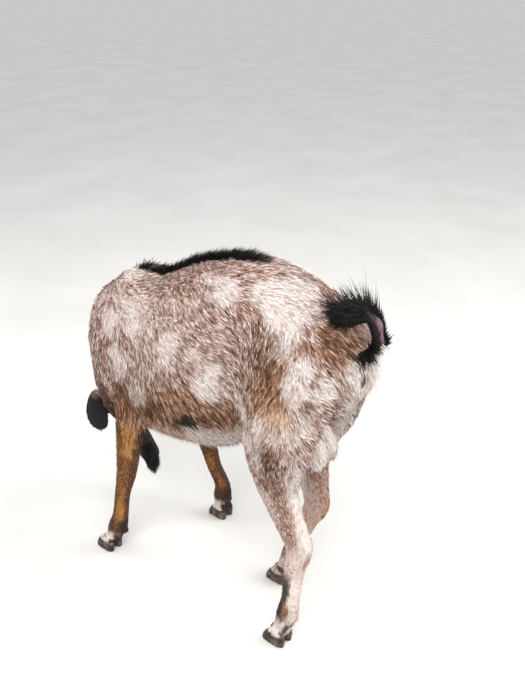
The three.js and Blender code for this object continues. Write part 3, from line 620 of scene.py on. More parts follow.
def bare_skin(points, normals, regions):
    """Colour and share of the bare skin at each point."""
    painted = np.zeros((len(points), 4))

    def lay(name, share):
        share = np.clip(share, 0, 1)
        colour = np.array(tone(*BARE_COLOURS[name])[:3])
        painted[:, :3] = painted[:, :3] * (1 - share[:, None]) + colour * share[:, None]
        painted[:, 3] = np.maximum(painted[:, 3], share)

    near_tail = regions["tail"] > 0.3
    if near_tail.any():
        run, _, out = tail_place(points[near_tail])
        share = np.zeros(len(points))
        share[near_tail] = smoothstep(0.48, 0.7, (normals[near_tail] * out).sum(1))
        share[near_tail] *= smoothstep(0.2, 0.28, run) * smoothstep(0.62, 0.5, run)
        lay("tail", share)
    head = to_head(points)
    in_head = regions["head"] > 0.5
    above = head[:, 2] - np.interp(head[:, 0], MOUTH_LINE[:, 0], MOUTH_LINE[:, 1])
    pad = smoothstep(219, 228, head[:, 0] - 0.25 * abs(head[:, 1])) * smoothstep(-1, 3, above)
    lips = smoothstep(2.6, 1.2, abs(above)) * smoothstep(164, 172, head[:, 0])
    lay("nose", in_head * np.maximum(pad, lips))
    for side in (1, -1):
        lay("lid", in_head * smoothstep(1.4, 1.2, eye_opening(head, side)))
    sheath = np.linalg.norm((points - np.array(SHEATH_TIP)) / [0.02, 0.011, 0.011], axis=1)
    lay("sheath", smoothstep(1.15, 0.9, sheath) * (points[:, 2] < 0.294))
    anus = spot_share(*to_pixels(points), ANUS_SPOT, 0) * facing(points, normals)
    lay("anus", anus * (normals[:, 0] > 0.2) * (points[:, 0] > 0.28))
    return painted


# Materials

def material(name, roughness, specular):
    """A node material, its tree and its shader."""
    fresh = bpy.data.materials.new(name)
    fresh.use_nodes = True
    shader = fresh.node_tree.nodes["Principled BSDF"]
    shader.inputs["Roughness"].default_value = roughness
    shader.inputs["Specular IOR Level"].default_value = specular
    return fresh, fresh.node_tree, shader


def node(tree, kind, inputs=(), **settings):
    """A shader node whose inputs, by name or number, are linked to sockets or set to values."""
    fresh = tree.nodes.new(kind)
    for key, value in settings.items():
        setattr(fresh, key, value)
    for key, value in dict(inputs).items():
        if isinstance(value, bpy.types.NodeSocket):
            tree.links.new(value, fresh.inputs[key])
        else:
            fresh.inputs[key].default_value = value
    return fresh


def blend(tree, share, first, second, kind="MIX"):
    """Mixes two colours or colour sockets by a share."""
    inputs = {0: share, 6: first, 7: second}
    return node(tree, "ShaderNodeMix", inputs, data_type="RGBA", blend_type=kind).outputs[2]


def sums(tree, kind, first, second=0.0):
    """One step of arithmetic on numbers or sockets."""
    return node(tree, "ShaderNodeMath", {0: first, 1: second}, operation=kind).outputs[0]


def attribute(tree, name):
    return node(tree, "ShaderNodeAttribute", attribute_name=name).outputs


def bumped(tree, shader, height, strength, distance):
    """Raises the shader's surface by a height socket."""
    inputs = {"Height": height, "Strength": strength, "Distance": distance}
    tree.links.new(node(tree, "ShaderNodeBump", inputs).outputs["Normal"], shader.inputs["Normal"])


def speckle(tree, scale, detail=3.0):
    """A fine noise in the object's own space."""
    place = node(tree, "ShaderNodeTexCoord").outputs["Object"]
    noise = node(tree, "ShaderNodeTexNoise", {"Vector": place, "Scale": scale, "Detail": detail})
    return noise.outputs["Fac"]


def ramp(tree, share, *stops):
    """A colour looked up along the given stops."""
    fresh = node(tree, "ShaderNodeValToRGB", {"Fac": share})
    elements = fresh.color_ramp.elements
    while len(elements) < len(stops):
        elements.new(0.5)
    for element, (position, colour) in zip(elements, stops):
        element.position = position
        element.color = colour
    return fresh.outputs["Color"]


def coat_colour(tree, colours, on_skin):
    """The colour of the coat from its markings and its tuft's own shade."""
    marks = attribute(tree, "markings")
    parts = node(tree, "ShaderNodeSeparateColor", {"Color": marks["Color"]})
    pale, black, gold = (parts.outputs[k] for k in range(3))
    shade = speckle(tree, 260.0) if on_skin else attribute(tree, "shade")["Fac"]
    level = sums(tree, "SUBTRACT", 0.815, sums(tree, "MULTIPLY", marks["Alpha"], 0.75))
    own = sums(tree, "SUBTRACT", shade, 0.5)
    patchy = sums(tree, "SUBTRACT", speckle(tree, 18.0), 0.5)
    mixed = sums(tree, "ADD", sums(tree, "ADD", level, own), sums(tree, "MULTIPLY", patchy, 0.2))
    golden = sums(tree, "ADD", level, sums(tree, "MULTIPLY", own, 0.8))
    roan = ramp(tree, mixed, (0.0, colours.umber), (0.25, colours.brown), (0.5, colours.rose),
                (0.72, colours.roan), (0.95, colours.cream))
    white = ramp(tree, shade, (0.0, colours.rose), (0.18, colours.roan), (0.4, colours.cream),
                 (0.7, colours.white))
    fawn = ramp(tree, golden, (0.0, colours.umber), (0.25, colours.tan), (0.55, colours.gold),
                (0.9, colours.straw))
    jet = ramp(tree, shade, (0.15, colours.black), (0.95, colours.soot))
    colour = blend(tree, gold, roan, fawn)
    colour = blend(tree, pale, colour, white)
    return blend(tree, black, colour, jet)


def coat_material(colours):
    """Hair, with painted shade that darkens it from its tip towards its root."""
    hair, tree, shader = material("coat_hair", roughness=0.6, specular=0.2)
    colour = coat_colour(tree, colours, False)
    # Painted shade deep in the coat: the hair's colour darkens towards its root
    depth = ramp(tree, attribute(tree, "reach")["Fac"], (0.0, (0.55, 0.52, 0.5, 1)), (0.6, (1, 1, 1, 1)))
    tree.links.new(blend(tree, 1.0, colour, depth, "MULTIPLY"), shader.inputs["Base Color"])
    return hair


def skin_material(colours):
    """Skin under the coat, which takes the coat's colour darkened by painted shade, with its bare parts in
    their own colours.
    """
    skin, tree, shader = material("goat_skin", roughness=0.7, specular=0.25)
    # The coat's colour, darkened as painted shade where the skin lies under the hair
    coat_in_painted_shade = blend(tree, 1.0, coat_colour(tree, colours, True), (0.72, 0.69, 0.67, 1), "MULTIPLY")
    bare = attribute(tree, "bare")
    mottle = ramp(tree, speckle(tree, 350.0), (0.3, (0.75, 0.72, 0.72, 1)), (0.7, (1.15, 1.15, 1.15, 1)))
    mottled = blend(tree, 1.0, bare["Color"], mottle, "MULTIPLY")
    tree.links.new(blend(tree, bare["Alpha"], coat_in_painted_shade, mottled), shader.inputs["Base Color"])
    bumped(tree, shader, speckle(tree, 520.0), 0.35, 0.001)
    return skin


# Settings shown in the sidebar

def colour_setting(name, description, value):
    return bpy.props.FloatVectorProperty(name=name, description=description, default=tone(*value), size=4,
                                         min=0, max=1, subtype="COLOR")


def number_setting(name, description, value, **limits):
    kind = bpy.props.IntProperty if isinstance(value, int) else bpy.props.FloatProperty
    return kind(name=name, description=description, default=value, **limits)


class GoatColours(bpy.types.PropertyGroup):
    umber: colour_setting("Umber", "Darkest hairs of the roan coat", (66, 44, 34))
    brown: colour_setting("Brown", "Brown hairs of the roan coat", (132, 93, 70))
    rose: colour_setting("Rose", "Middle tone of the roan coat", (184, 151, 138))
    roan: colour_setting("Roan", "Light hairs of the roan coat", (222, 205, 198))
    cream: colour_setting("Cream", "Cream hairs", (234, 222, 215))
    white: colour_setting("White", "White hairs", (240, 235, 231))
    tan: colour_setting("Tan", "Rich brown of the legs", (118, 74, 40))
    gold: colour_setting("Gold", "Golden hairs of the forearm", (186, 130, 72))
    straw: colour_setting("Straw", "Lightest golden hairs", (226, 186, 130))
    black: colour_setting("Black", "Black hairs", (10, 9, 10))
    soot: colour_setting("Soot", "Weathered black hairs", (46, 40, 39))


class GoatCoat(bpy.types.PropertyGroup):
    voxel: number_setting("Skin fineness", "Size of the cells that the skin is drawn over", 0.0024,
                          min=0.001, unit="LENGTH")
    layers: number_setting("Layers", "Pieces that the coat is dealt out to", 8, min=1)
    tufts: number_setting("Tufts a layer", "Tufts of hair in each layer", 15500, min=100)
    width: number_setting("Tuft width", "Width of a tuft at its root", 0.0014, unit="LENGTH")
    locks: number_setting("Locks", "Locks for each tuft", 0.27, min=0.01, max=1)
    lift: number_setting("Lift", "Angle between the hair and the skin", 0.30, subtype="ANGLE")


class GoatStage(bpy.types.PropertyGroup):
    floor: number_setting("Floor", "Side of the floor", 60.0, unit="LENGTH")
    key: number_setting("Key light", "Power of the main lamp", 68.0, unit="POWER")
    sky: number_setting("Sky", "Strength of the light all round", 0.95)


# The skin and the hair's material, which later steps share
made = {}


def smooth_line(values, count):
    """A smooth run of count values through the given ones."""
    values = np.array([list(v) if isinstance(v, Vector) else [v] for v in values], float)
    padded = np.vstack([2 * values[0] - values[1], values, 2 * values[-1] - values[-2]])
    t = np.linspace(0, len(values) - 1, count)
    k = np.minimum(t.astype(int), len(values) - 2)
    u = (t - k)[:, None]
    p0, p1, p2, p3 = (padded[k + j] for j in range(4))
    return 0.5 * (2 * p1 + (p2 - p0) * u + (2 * p0 - 5 * p1 + 4 * p2 - p3) * u ** 2
                  + (3 * p1 - p0 - 3 * p2 + p3) * u ** 3)


TAIL_RINGS, TAIL_SIDES = 30, 20


def tail_core():
    """The fleshy tail, a tapered closed tube on its curled line, a little wider than it is deep."""
    line = smooth_line(TAIL_LINE, TAIL_RINGS)
    radii = smooth_line(TAIL_RADII, TAIL_RINGS)[:, 0]
    last = TAIL_RINGS - 1
    wide = np.array([0, 1.15, 0])
    points = []
    for k, middle in enumerate(line):
        way = unit((line[min(k + 1, last)] - line[max(k - 1, 0)])[None])[0]
        out = np.cross(way, [0, 1, 0])
        for step in range(TAIL_SIDES):
            turn = 2 * math.pi * step / TAIL_SIDES
            points.append(middle + radii[k] * (math.cos(turn) * out + math.sin(turn) * wide))
    points = np.array(points + [line[0], line[-1]])
    faces = []
    for k in range(last):
        for step in range(TAIL_SIDES):
            a, b = k * TAIL_SIDES + step, k * TAIL_SIDES + (step + 1) % TAIL_SIDES
            faces += [(a, b, b + TAIL_SIDES), (a, b + TAIL_SIDES, a + TAIL_SIDES)]
    for step in range(TAIL_SIDES):
        following = (step + 1) % TAIL_SIDES
        faces.append((len(points) - 2, following, step))
        faces.append((len(points) - 1, last * TAIL_SIDES + step, last * TAIL_SIDES + following))
    piece = mesh_from("tail_core", points, np.array(faces))
    with whole_mesh_in_edit(piece):
        bpy.ops.mesh.normals_make_consistent(inside=False)
    return piece


def flatten_crest(points):
    """Lowers the ridge of hair on the back to the line of the flesh on either side of it."""
    side = abs(beside(points))
    xs = np.linspace(-0.26, 0.2, 93)
    flanking = (side > 0.016) & (side < 0.026) & (points[:, 2] > 0.5)
    tops = []
    for x in xs:
        near = flanking & (abs(points[:, 0] - x) < 0.006)
        tops.append(points[near, 2].max() if near.any() else np.nan)
    tops = np.array(tops)
    known = ~np.isnan(tops)
    tops = np.interp(xs, xs[known], tops[known])
    tops = np.convolve(np.pad(tops, 4, mode="edge"), np.ones(9) / 9, mode="valid")
    top = np.interp(points[:, 0], xs, tops) + 0.0035 * np.clip(1 - (side / 0.02) ** 2, 0, 1)
    over = (side < 0.02) & (points[:, 2] > 0.5) & (points[:, 0] > -0.26) & (points[:, 0] < 0.2)
    points[over, 2] = np.minimum(points[over, 2], top[over])
    return points


def shave_chin(points):
    """Presses the solid locks of the beard into the chin and the end of the muzzle."""
    head = to_head(points)
    here = (head[:, 0] > 178) & (head[:, 0] < 300) & (abs(head[:, 1]) < 45) & (abs(head[:, 2]) < 90)
    beyond = here & (head[:, 0] > MUZZLE_END)
    head[beyond, 1] = np.clip(head[beyond, 1], -8, 8)
    head[beyond, 2] = np.clip(head[beyond, 2], -18, -2)
    head[beyond, 0] = MUZZLE_END - 0.5
    chin = np.interp(head[:, 0], CHIN_LINE[:, 0], CHIN_LINE[:, 1])
    head[here, 2] = np.maximum(head[here, 2], chin[here])
    pressed = from_head(head)
    return np.where(here[:, None], pressed, points)


def subdivide(piece, chosen):
    """Splits the chosen faces of a piece, so that small forms can be worked into them."""
    choose(piece)
    bpy.context.tool_settings.mesh_select_mode = (False, False, True)
    for elements in (piece.data.vertices, piece.data.edges):
        elements.foreach_set("select", np.zeros(len(elements), bool))
    piece.data.polygons.foreach_set("select", chosen)
    bpy.ops.object.mode_set(mode="EDIT")
    bpy.ops.mesh.subdivide(number_cuts=1, ngon=False)
    bpy.ops.mesh.select_all(action="SELECT")
    bpy.ops.mesh.quads_convert_to_tris()
    bpy.ops.object.mode_set(mode="OBJECT")


def refine_face(skin):
    """Makes the mesh finer at the eyes and the muzzle."""
    for level in range(2):
        head = to_head(triples(skin.data.polygons, "center"))
        eyes = [np.linalg.norm(head - EYE_AT * [1, side, 1], axis=1) < 21 for side in (1, -1)]
        muzzle = (head[:, 0] > (158 if level == 0 else 196)) & (head[:, 0] < 260)
        muzzle &= (abs(head[:, 1]) < 45) & (abs(head[:, 2]) < 60)
        subdivide(skin, eyes[0] | eyes[1] | muzzle)


def shape_eyes(head):
    """Draws the lids round each eye, with the opening between them."""
    for side in (1, -1):
        look = eye_frame(side)[0]
        centre = EYE_AT * [1, side, 1]
        offset = head - centre
        far = np.linalg.norm(offset, axis=1)
        share = eye_opening(head, side)
        near = (far < 27) & (offset @ look > 0.5)
        inside = smoothstep(1.03, 0.93, share)
        lids = smoothstep(2.3, 1.25, share)
        edge = 0.8 * np.exp(-((share - 1.16) / 0.13) ** 2)
        crease = 1.1 * np.exp(-((share - 1.72) / 0.16) ** 2)
        target = far + (EYE_BALL + 1.5 + edge - crease - far) * lids
        target = target * (1 - inside) + (EYE_BALL - 2.4) * inside
        head[near] = (centre + offset / far[:, None] * target[:, None])[near]
    return head


def shape_muzzle(head, normals):
    """Draws the line of the mouth, the lips, the nostrils and the cleft of the upper lip."""
    line = np.interp(head[:, 0], MOUTH_LINE[:, 0], MOUTH_LINE[:, 1])
    above = head[:, 2] - line
    ours = (head[:, 0] < 260) & (abs(head[:, 1]) < 45) & (abs(head[:, 2]) < 60)
    fade = smoothstep(163, 172, head[:, 0]) * ours
    move = -2.3 * np.exp(-(above / 1.0) ** 2) * fade
    move += 1.1 * np.exp(-((abs(above) - 3.6) / 2.0) ** 2) * fade
    cleft = np.exp(-(head[:, 1] / 1.1) ** 2) * smoothstep(224, 230, head[:, 0]) * smoothstep(-1, 1, above)
    move -= 1.4 * cleft * ours
    moved = head + normals * move[:, None]
    moved[:, 0] -= 3.0 * smoothstep(205, 234, head[:, 0]) * smoothstep(0.5, -3, above) * ours
    for side in (1, -1):
        offset = head - NOSTRIL_AT * [1, side, 1]
        near = (np.linalg.norm(offset, axis=1) < 16) & ours
        out = unit(normals[near & (np.linalg.norm(offset, axis=1) < 8)].mean(0)[None])[0]
        long = np.array([-0.5, side * 0.5, 0.72])
        long -= out * (long @ out)
        long /= np.linalg.norm(long)
        p, q = offset @ long / 6.8, offset @ np.cross(out, long) / 2.5
        share = np.hypot(p, q + 0.3 * side * p ** 2)
        hollow = 6.5 * np.exp(-1.1 * share ** 2.4)
        rim = 1.2 * np.exp(-((share - 1.75) / 0.5) ** 2)
        moved[near] += (out * (rim - hollow)[:, None])[near]
    return moved


def tuck_feet(points):
    """Draws the skin at the feet into the tops of the claws."""
    for name in CLAW_NODES:
        low, high = corners_of(name)
        middle = (low + high) / 2
        inside = (points[:, 2] < CORONET) & (abs(points - middle) < (high - low) / 2 + 0.004)[:, :2].all(1)
        points[inside, :2] = middle[:2] + (points[inside, :2] - middle[:2]) * 0.64
    sunk = points[:, 2] < CORONET
    points[sunk, 2] = 0.6 * CORONET + 0.4 * points[sunk, 2]
    return points


class GOAT_OT_skin(bpy.types.Operator):
    """Draws one skin over the body, head, legs and tail, inside the outline of the coat"""
    bl_idname = "goat.skin"
    bl_label = "Skin"

    def execute(self, context):
        settings = context.scene.goat_coat
        skin = copy_of(SKIN_NODES + EYE_NODES + CLAW_NODES, "skin")
        set_points(skin, shave_chin(points_of(skin)))
        core = tail_core()
        choose(skin, core)
        bpy.ops.object.join()
        apply_modifier(skin, "REMESH", mode="VOXEL", voxel_size=settings.voxel)
        skin = largest_part(skin)
        set_points(skin, flatten_crest(points_of(skin)))
        regions, _, _ = survey(points_of(skin))
        broad = regions["trunk"] + 0.9 * regions["neck"] + 0.75 * regions["thigh"] + 0.1 * regions["leg"]
        sheath = np.linalg.norm(points_of(skin) - np.array(SHEATH_TIP), axis=1)
        weight(skin, "broad", np.clip(broad * smoothstep(0.022, 0.045, sheath), 0, 1))
        apply_modifier(skin, "SMOOTH", factor=0.5, iterations=70, vertex_group="broad")
        narrow = 1 - 0.7 * regions["head"] - 0.45 * (regions["leg"] + regions["cannon"] + regions["foot"])
        weight(skin, "narrow", np.clip(narrow, 0, 1))
        apply_modifier(skin, "SMOOTH", factor=0.5, iterations=9, vertex_group="narrow")
        points, normals = points_of(skin), normals_of(skin)
        depth = sum(COAT_DEPTH[name] * share for name, share in regions.items())
        set_points(skin, points - normals * depth[:, None])
        weight(skin, "thin_out", np.clip(1 - regions["head"] * 2, 0, 1))
        apply_modifier(skin, "DECIMATE", ratio=0.25, vertex_group="thin_out", vertex_group_factor=1.0)
        skin.vertex_groups.clear()
        refine_face(skin)
        turn = head_axes().T
        head = shape_eyes(to_head(points_of(skin)))
        set_points(skin, from_head(head))
        head = shape_muzzle(head, normals_of(skin) @ turn)
        points = from_head(head)
        set_points(skin, tuck_feet(points))
        made["skin"] = skin
        return {"FINISHED"}


def unwrap(piece):
    """Lays the piece's own surface out flat on a map that the coat shares."""
    with whole_mesh_in_edit(piece):
        bpy.ops.uv.smart_project(angle_limit=math.radians(60), island_margin=0.002)
    piece.data.uv_layers[0].name = "OFBake"


def paint(piece, marks, name="markings"):
    """Writes the markings on a mesh, one value for each of its points."""
    layer = piece.data.color_attributes.new(name, "FLOAT_COLOR", "POINT")
    layer.data.foreach_set("color", marks.astype(np.float32).ravel())


def shade_smooth(piece):
    piece.data.polygons.foreach_set("use_smooth", np.ones(len(piece.data.polygons), bool))


def ready_skin(seed):
    """The skin, a seeded source of random numbers, and the skin's points, normals and regions."""
    skin = made["skin"]
    points, normals = points_of(skin), normals_of(skin)
    return skin, np.random.default_rng(seed), points, normals, survey(points)[0]


class GOAT_OT_markings(bpy.types.Operator):
    """Unwraps the skin and lays the goat's pale, black, tan and brown markings on it"""
    bl_idname = "goat.markings"
    bl_label = "Markings"

    def execute(self, context):
        skin = made["skin"]
        unwrap(skin)
        points, normals = points_of(skin), normals_of(skin)
        regions, _, _ = survey(points)
        paint(skin, markings(points, normals, regions, 3))
        paint(skin, bare_skin(points, normals, regions), "bare")
        replaced = SKIN_NODES + ("tail",)
        finish_piece(skin, skin_material(context.scene.goat_colours), replaced)
        shade_smooth(skin)
        return {"FINISHED"}


def sow(piece, count, rng, density=None):
    """Even places on a piece's surface: point, normal, and the place on its map."""
    mesh = piece.data
    mesh.calc_loop_triangles()
    total = len(mesh.loop_triangles)
    corners = np.empty(total * 3, np.int32)
    loops = np.empty(total * 3, np.int32)
    mesh.loop_triangles.foreach_get("vertices", corners)
    mesh.loop_triangles.foreach_get("loops", loops)
    corners, loops = corners.reshape(-1, 3), loops.reshape(-1, 3)
    flat = np.empty(len(mesh.loops) * 2, np.float32)
    mesh.uv_layers["OFBake"].data.foreach_get("uv", flat)
    uv = flat.reshape(-1, 2)
    points, normals = points_of(piece), normals_of(piece)
    a, b, c = (points[corners[:, k]] for k in range(3))
    area = np.linalg.norm(np.cross(b - a, c - a), axis=1) / 2
    if density is not None:
        area = area * density[corners].mean(1)
    # Equal steps through the triangles, which are sorted into small cells, spread the places evenly
    order = np.lexsort((np.round(a[:, 2] / 0.012), np.round(a[:, 1] / 0.03), np.round(a[:, 0] / 0.03)))
    edges = np.cumsum(area[order])
    steps = (np.arange(count) + rng.uniform(0, 1, count)) / count * edges[-1]
    picked = order[np.minimum(np.searchsorted(edges, steps), total - 1)]
    u, v = rng.uniform(0, 1, (2, count))
    over = u + v > 1
    u[over], v[over] = 1 - u[over], 1 - v[over]
    share = np.stack([1 - u - v, u, v], 1)[:, :, None]
    where = (points[corners[picked]] * share).sum(1)
    normal = unit((normals[corners[picked]] * share).sum(1))
    return where, normal, (uv[loops[picked]] * share).sum(1)


ROOT_DEPTH = 0.0012
THICKNESS = 0.34
PATCH = 0.003


def grow(name, roots, normals, lie, lengths, widths, lifts, bends, shades, marks, uv, rings=2):
    """A layer of tufts. Each is a closed, tapered, bent blade of THICKNESS times its width, with its
    root ROOT_DEPTH in the skin and a patch of the map PATCH across to itself."""
    count = len(roots)
    lie = unit(lie - normals * (lie * normals).sum(1)[:, None])
    side = np.cross(normals, lie)
    way = unit(lie * np.cos(lifts)[:, None] + normals * np.sin(lifts)[:, None])
    step = (lengths / rings)[:, None]
    spine = [roots - normals * ROOT_DEPTH]
    for _ in range(rings):
        spine.append(spine[-1] + way * step)
        way = unit(way + bends)
    taper = np.cos(np.linspace(0, 1, rings + 1) * math.pi / 2) ** 0.6
    points = np.empty((count, rings * 3 + 1, 3))
    for k in range(rings):
        half = (widths * taper[k] / 2)[:, None]
        points[:, 3 * k] = spine[k] - side * half
        points[:, 3 * k + 1] = spine[k] + side * half
        points[:, 3 * k + 2] = spine[k] + normals * half * 2 * THICKNESS
    points[:, -1] = spine[rings]
    pattern = [(0, 1, 2)]
    for k in range(rings - 1):
        a, b = 3 * k, 3 * k + 3
        for left, right in ((0, 2), (2, 1), (1, 0)):
            pattern += [(a + left, b + left, b + right), (a + left, b + right, a + right)]
    top, tip = 3 * (rings - 1), 3 * rings
    pattern += [(top, tip, top + 2), (top + 2, tip, top + 1), (top + 1, tip, top)]
    pattern = np.array(pattern)
    own = rings * 3 + 1
    faces = (pattern[None] + own * np.arange(count)[:, None, None]).reshape(-1, 3)
    piece = mesh_from(name, points.reshape(-1, 3), faces)
    paint(piece, np.repeat(marks, own, axis=0))
    along = np.repeat(np.arange(rings + 1) / rings, [3] * rings + [1])
    for key, values in (("shade", np.repeat(shades, own)), ("reach", np.tile(along, count))):
        layer = piece.data.attributes.new(key, "FLOAT", "POINT")
        layer.data.foreach_set("value", values.astype(np.float32))
    patch = np.zeros((own, 2))
    patch[:, 1] = along * PATCH - PATCH / 2
    for k in range(rings):
        patch[3 * k: 3 * k + 3, 0] = (-PATCH / 2, PATCH / 2, 0)
    layer = piece.data.uv_layers.new(name="OFBake")
    spread = np.clip((uv[:, None] + patch[None]).reshape(-1, 2), 0, 1)
    layer.data.foreach_set("uv", spread[faces.ravel()].astype(np.float32).ravel())
    return piece


def coat_lie(points, normals, regions, lie, seed):
    """The way the hair lies: back along the body, falling down the sides, down the legs."""
    height = points[:, 2]
    steep = 0.55 + 0.9 * smoothstep(0.58, 0.40, height)
    body = (regions["trunk"] + 0.7 * regions["thigh"]) * (1 - smoothstep(0.55, 0.95, abs(normals[:, 2])))
    lie = lie + np.array([0, 0, -1]) * (steep * body)[:, None]
    lie = lie + np.array([0, 0, -0.6]) * regions["neck"][:, None]
    turn = 0.20 * wander(points, 0.09, seed) + 0.12 * wander(points, 0.025, seed + 1)
    lie = unit(lie - normals * (lie * normals).sum(1)[:, None])
    side = np.cross(normals, lie)
    return lie * np.cos(turn)[:, None] + side * np.sin(turn)[:, None]


def gather(roots, lie, lengths, count, rng, pull=0.5):
    """Draws neighbouring tufts together into small locks, and says which lock each belongs to."""
    middles = rng.choice(len(roots), count, replace=False)
    tree = KDTree(count)
    for k, middle in enumerate(middles):
        tree.insert(roots[middle], k)
    tree.balance()
    lock = np.array([tree.find(root)[1] for root in roots])
    middle = middles[lock]
    drawn = lie[middle] * lengths[:, None] + pull * (roots[middle] - roots)
    return middle, drawn


# How much denser the coat's tufts stand than on the body
COAT_DENSITY = {"head": 0.9, "cannon": 0.7, "foot": 0.6, "leg": 0.3}


class GOAT_OT_coat(bpy.types.Operator):
    """Sows the short coat in layers of tufts that follow the lie of the hair"""
    bl_idname = "goat.coat"
    bl_label = "Coat"

    def execute(self, context):
        settings = context.scene.goat_coat
        skin, rng, points, normals, regions = ready_skin(21)
        density = np.ones(len(points))
        for name, more in COAT_DENSITY.items():
            density += more * regions[name]
        density *= 1 - 0.97 * bare_skin(points, normals, regions)[:, 3]
        density *= smoothstep(CORONET, CORONET + 0.002, points[:, 2]) + 1e-6
        density *= 1 - 0.7 * np.clip(regions["tail"] * smoothstep(0.575, 0.59, points[:, 2]), 0, 1)
        count = settings.tufts * settings.layers
        roots, normals, uv = sow(skin, count, rng, density)
        regions, lie, lengths = survey(roots)
        lie = unit(coat_lie(roots, normals, regions, lie, 5))
        turn = rng.normal(0, 0.13, count)
        lie = lie * np.cos(turn)[:, None] + np.cross(normals, lie) * np.sin(turn)[:, None]
        low = smoothstep(0.37, 0.31, roots[:, 2]) * regions["trunk"]
        lengths = lengths * (1 + 0.15 * regions["trunk"] + 0.35 * low + 0.5 * regions["scrotum"])
        edges = np.minimum(*(eye_opening(to_head(roots), side) for side in (1, -1)))
        lengths = lengths * np.where(regions["head"] > 0.5, 0.35 + 0.65 * smoothstep(1.3, 2.6, edges), 1)
        lengths = lengths * rng.uniform(0.75, 1.25, count)
        middle, lie = gather(roots, lie, lengths, int(count * settings.locks), rng)
        shown = roots + unit(lie) * lengths[:, None] * 0.45 + rng.normal(0, 0.0015, roots.shape)
        marks = markings(shown, normals, regions, 3)
        follow = rng.uniform(0, 1, count) < 0.7
        marks[follow] = marks[middle[follow]]
        size = np.clip(lengths / 0.016, 0.5, 1.15)
        widths = settings.width * size * rng.uniform(0.7, 1.3, count)
        lifts = settings.lift * rng.uniform(0.6, 1.4, count)
        shades = rng.uniform(0, 1, count)
        shades = 0.5 + 0.48 * (shades[middle] - 0.5) + 0.74 * (shades - 0.5)
        shades = np.clip(shades + 0.08 * wander(roots, 0.012, 8), 0, 1)
        bends = -normals * 0.22 + unit(lie) * 0.05
        made["coat_material"] = coat_material(context.scene.goat_colours)
        for k in range(settings.layers):
            own = slice(k, None, settings.layers)
            piece = grow(f"coat_{k + 1}", roots[own], normals[own], lie[own], lengths[own], widths[own],
                         lifts[own], bends[own], shades[own], marks[own], uv[own])
            finish_piece(piece, made["coat_material"])
        return {"FINISHED"}


class GOAT_OT_crest(bpy.types.Operator):
    """Sets the ridge of raised black hair along the back"""
    bl_idname = "goat.crest"
    bl_label = "Crest"

    def execute(self, context):
        skin, rng, points, normals, regions = ready_skin(31)
        count = 2600
        roots, normals, uv = sow(skin, count, rng, back_stripe(points, normals, regions, 0) + 1e-6)
        forward = -roots[:, 0]
        middle = np.clip((forward + 0.14) / 0.35, 0, 1)
        tall = 0.55 + 0.45 * np.sin(math.pi * middle) ** 0.5
        lengths = 0.024 * tall * rng.uniform(0.7, 1.2, count)
        lie = np.tile([1.0, 0, 0], (count, 1)) + rng.normal(0, 0.12, (count, 3))
        lie[:, 1] += beside(roots) * 18
        lifts = rng.uniform(0.45, 0.95, count)
        marks = np.tile([0.0, 1, 0, 0], (count, 1))
        shades = np.clip(rng.normal(0.4, 0.25, count), 0, 1)
        piece = grow("crest", roots, normals, lie, lengths, np.full(count, 0.0017), lifts,
                     -normals * 0.16, shades, marks, uv, rings=3)
        finish_piece(piece, made["coat_material"])
        return {"FINISHED"}


class GOAT_OT_tail_hair(bpy.types.Operator):
    """Hangs the long black fringe on both sides of the raised tail and spreads the tuft at its tip"""
    bl_idname = "goat.tail_hair"
    bl_label = "Tail hair"

    def execute(self, context):
        skin, rng, points, normals, regions = ready_skin(41)
        count = 7200
        density = np.clip(regions["tail"] * 2 - 0.8, 0, 1) * smoothstep(0.548, 0.558, points[:, 2]) + 1e-7
        roots, normals, uv = sow(skin, count, rng, density)
        run, along, out = tail_place(roots)
        turned = (normals * out).sum(1)
        bare = smoothstep(0.45, 0.65, turned) * smoothstep(0.2, 0.28, run) * smoothstep(0.64, 0.54, run)
        keep = (rng.uniform(0, 1, count) > bare) & (roots[:, 2] > 0.545)
        sparse = smoothstep(-0.1, 0.4, normals[:, 1]) * smoothstep(0.46, 0.62, run)
        keep &= rng.uniform(0, 1, count) > 0.4 * sparse
        far = smoothstep(-0.1, 0.4, normals[:, 1])
        near = smoothstep(0.1, -0.4, normals[:, 1])
        base = smoothstep(0.32, 0.14, run)
        top = smoothstep(0.46, 0.62, run)
        tip = smoothstep(0.84, 0.97, run)
        lengths = 0.021 + 0.005 * near + 0.021 * near * top
        lengths = lengths + 0.028 * far * top * (1 - tip) + 0.02 * tip
        lengths = lengths * (1 - rng.uniform(0, 1, count) * (0.35 + 0.4 * far * top))
        straying = rng.uniform(0, 1, count) < 0.07
        lengths[straying] *= 1.35
        lie = along * (1 - 0.4 * far * top - 1.8 * base * (1 - far))[:, None]
        lie += out * (far * (0.3 + 0.5 * top) * (1 - tip))[:, None]
        lie[:, 1] += 0.38 * far - 0.4 * near
        lie[:, 2] -= 0.12 + 1.1 * near * top * (1 - tip) + 0.5 * base
        stray = rng.normal(0, 0.08, (count, 3))
        lie += stray + rng.normal(0, 0.13, (count, 3)) * np.maximum(tip, far * top)[:, None]
        lifts = rng.uniform(0.12, 0.45, count) + 0.35 * far * top
        _, drawn = gather(roots, unit(lie), lengths, 1900, rng, 0.2)
        marks = np.tile([0.0, 1, 0, 0.5], (count, 1))
        frayed = rng.uniform(0, 1, count) < base * smoothstep(-0.1, 0.35, normals[:, 1])
        marks[frayed] = [1, 0, 0, 0.3]
        shades = np.clip(rng.normal(0.35, 0.25, count), 0, 1)
        bends = along * 0.1 + np.array([0, 0, -0.06])
        widths = 0.0014 * rng.uniform(0.6, 1.15, count) * (1 - 0.3 * far * top)
        parts = (roots, normals, drawn, lengths, widths, lifts, bends, shades, marks, uv)
        piece = grow("tail_hair", *(part[keep] for part in parts), rings=3)
        finish_piece(piece, made["coat_material"])
        return {"FINISHED"}


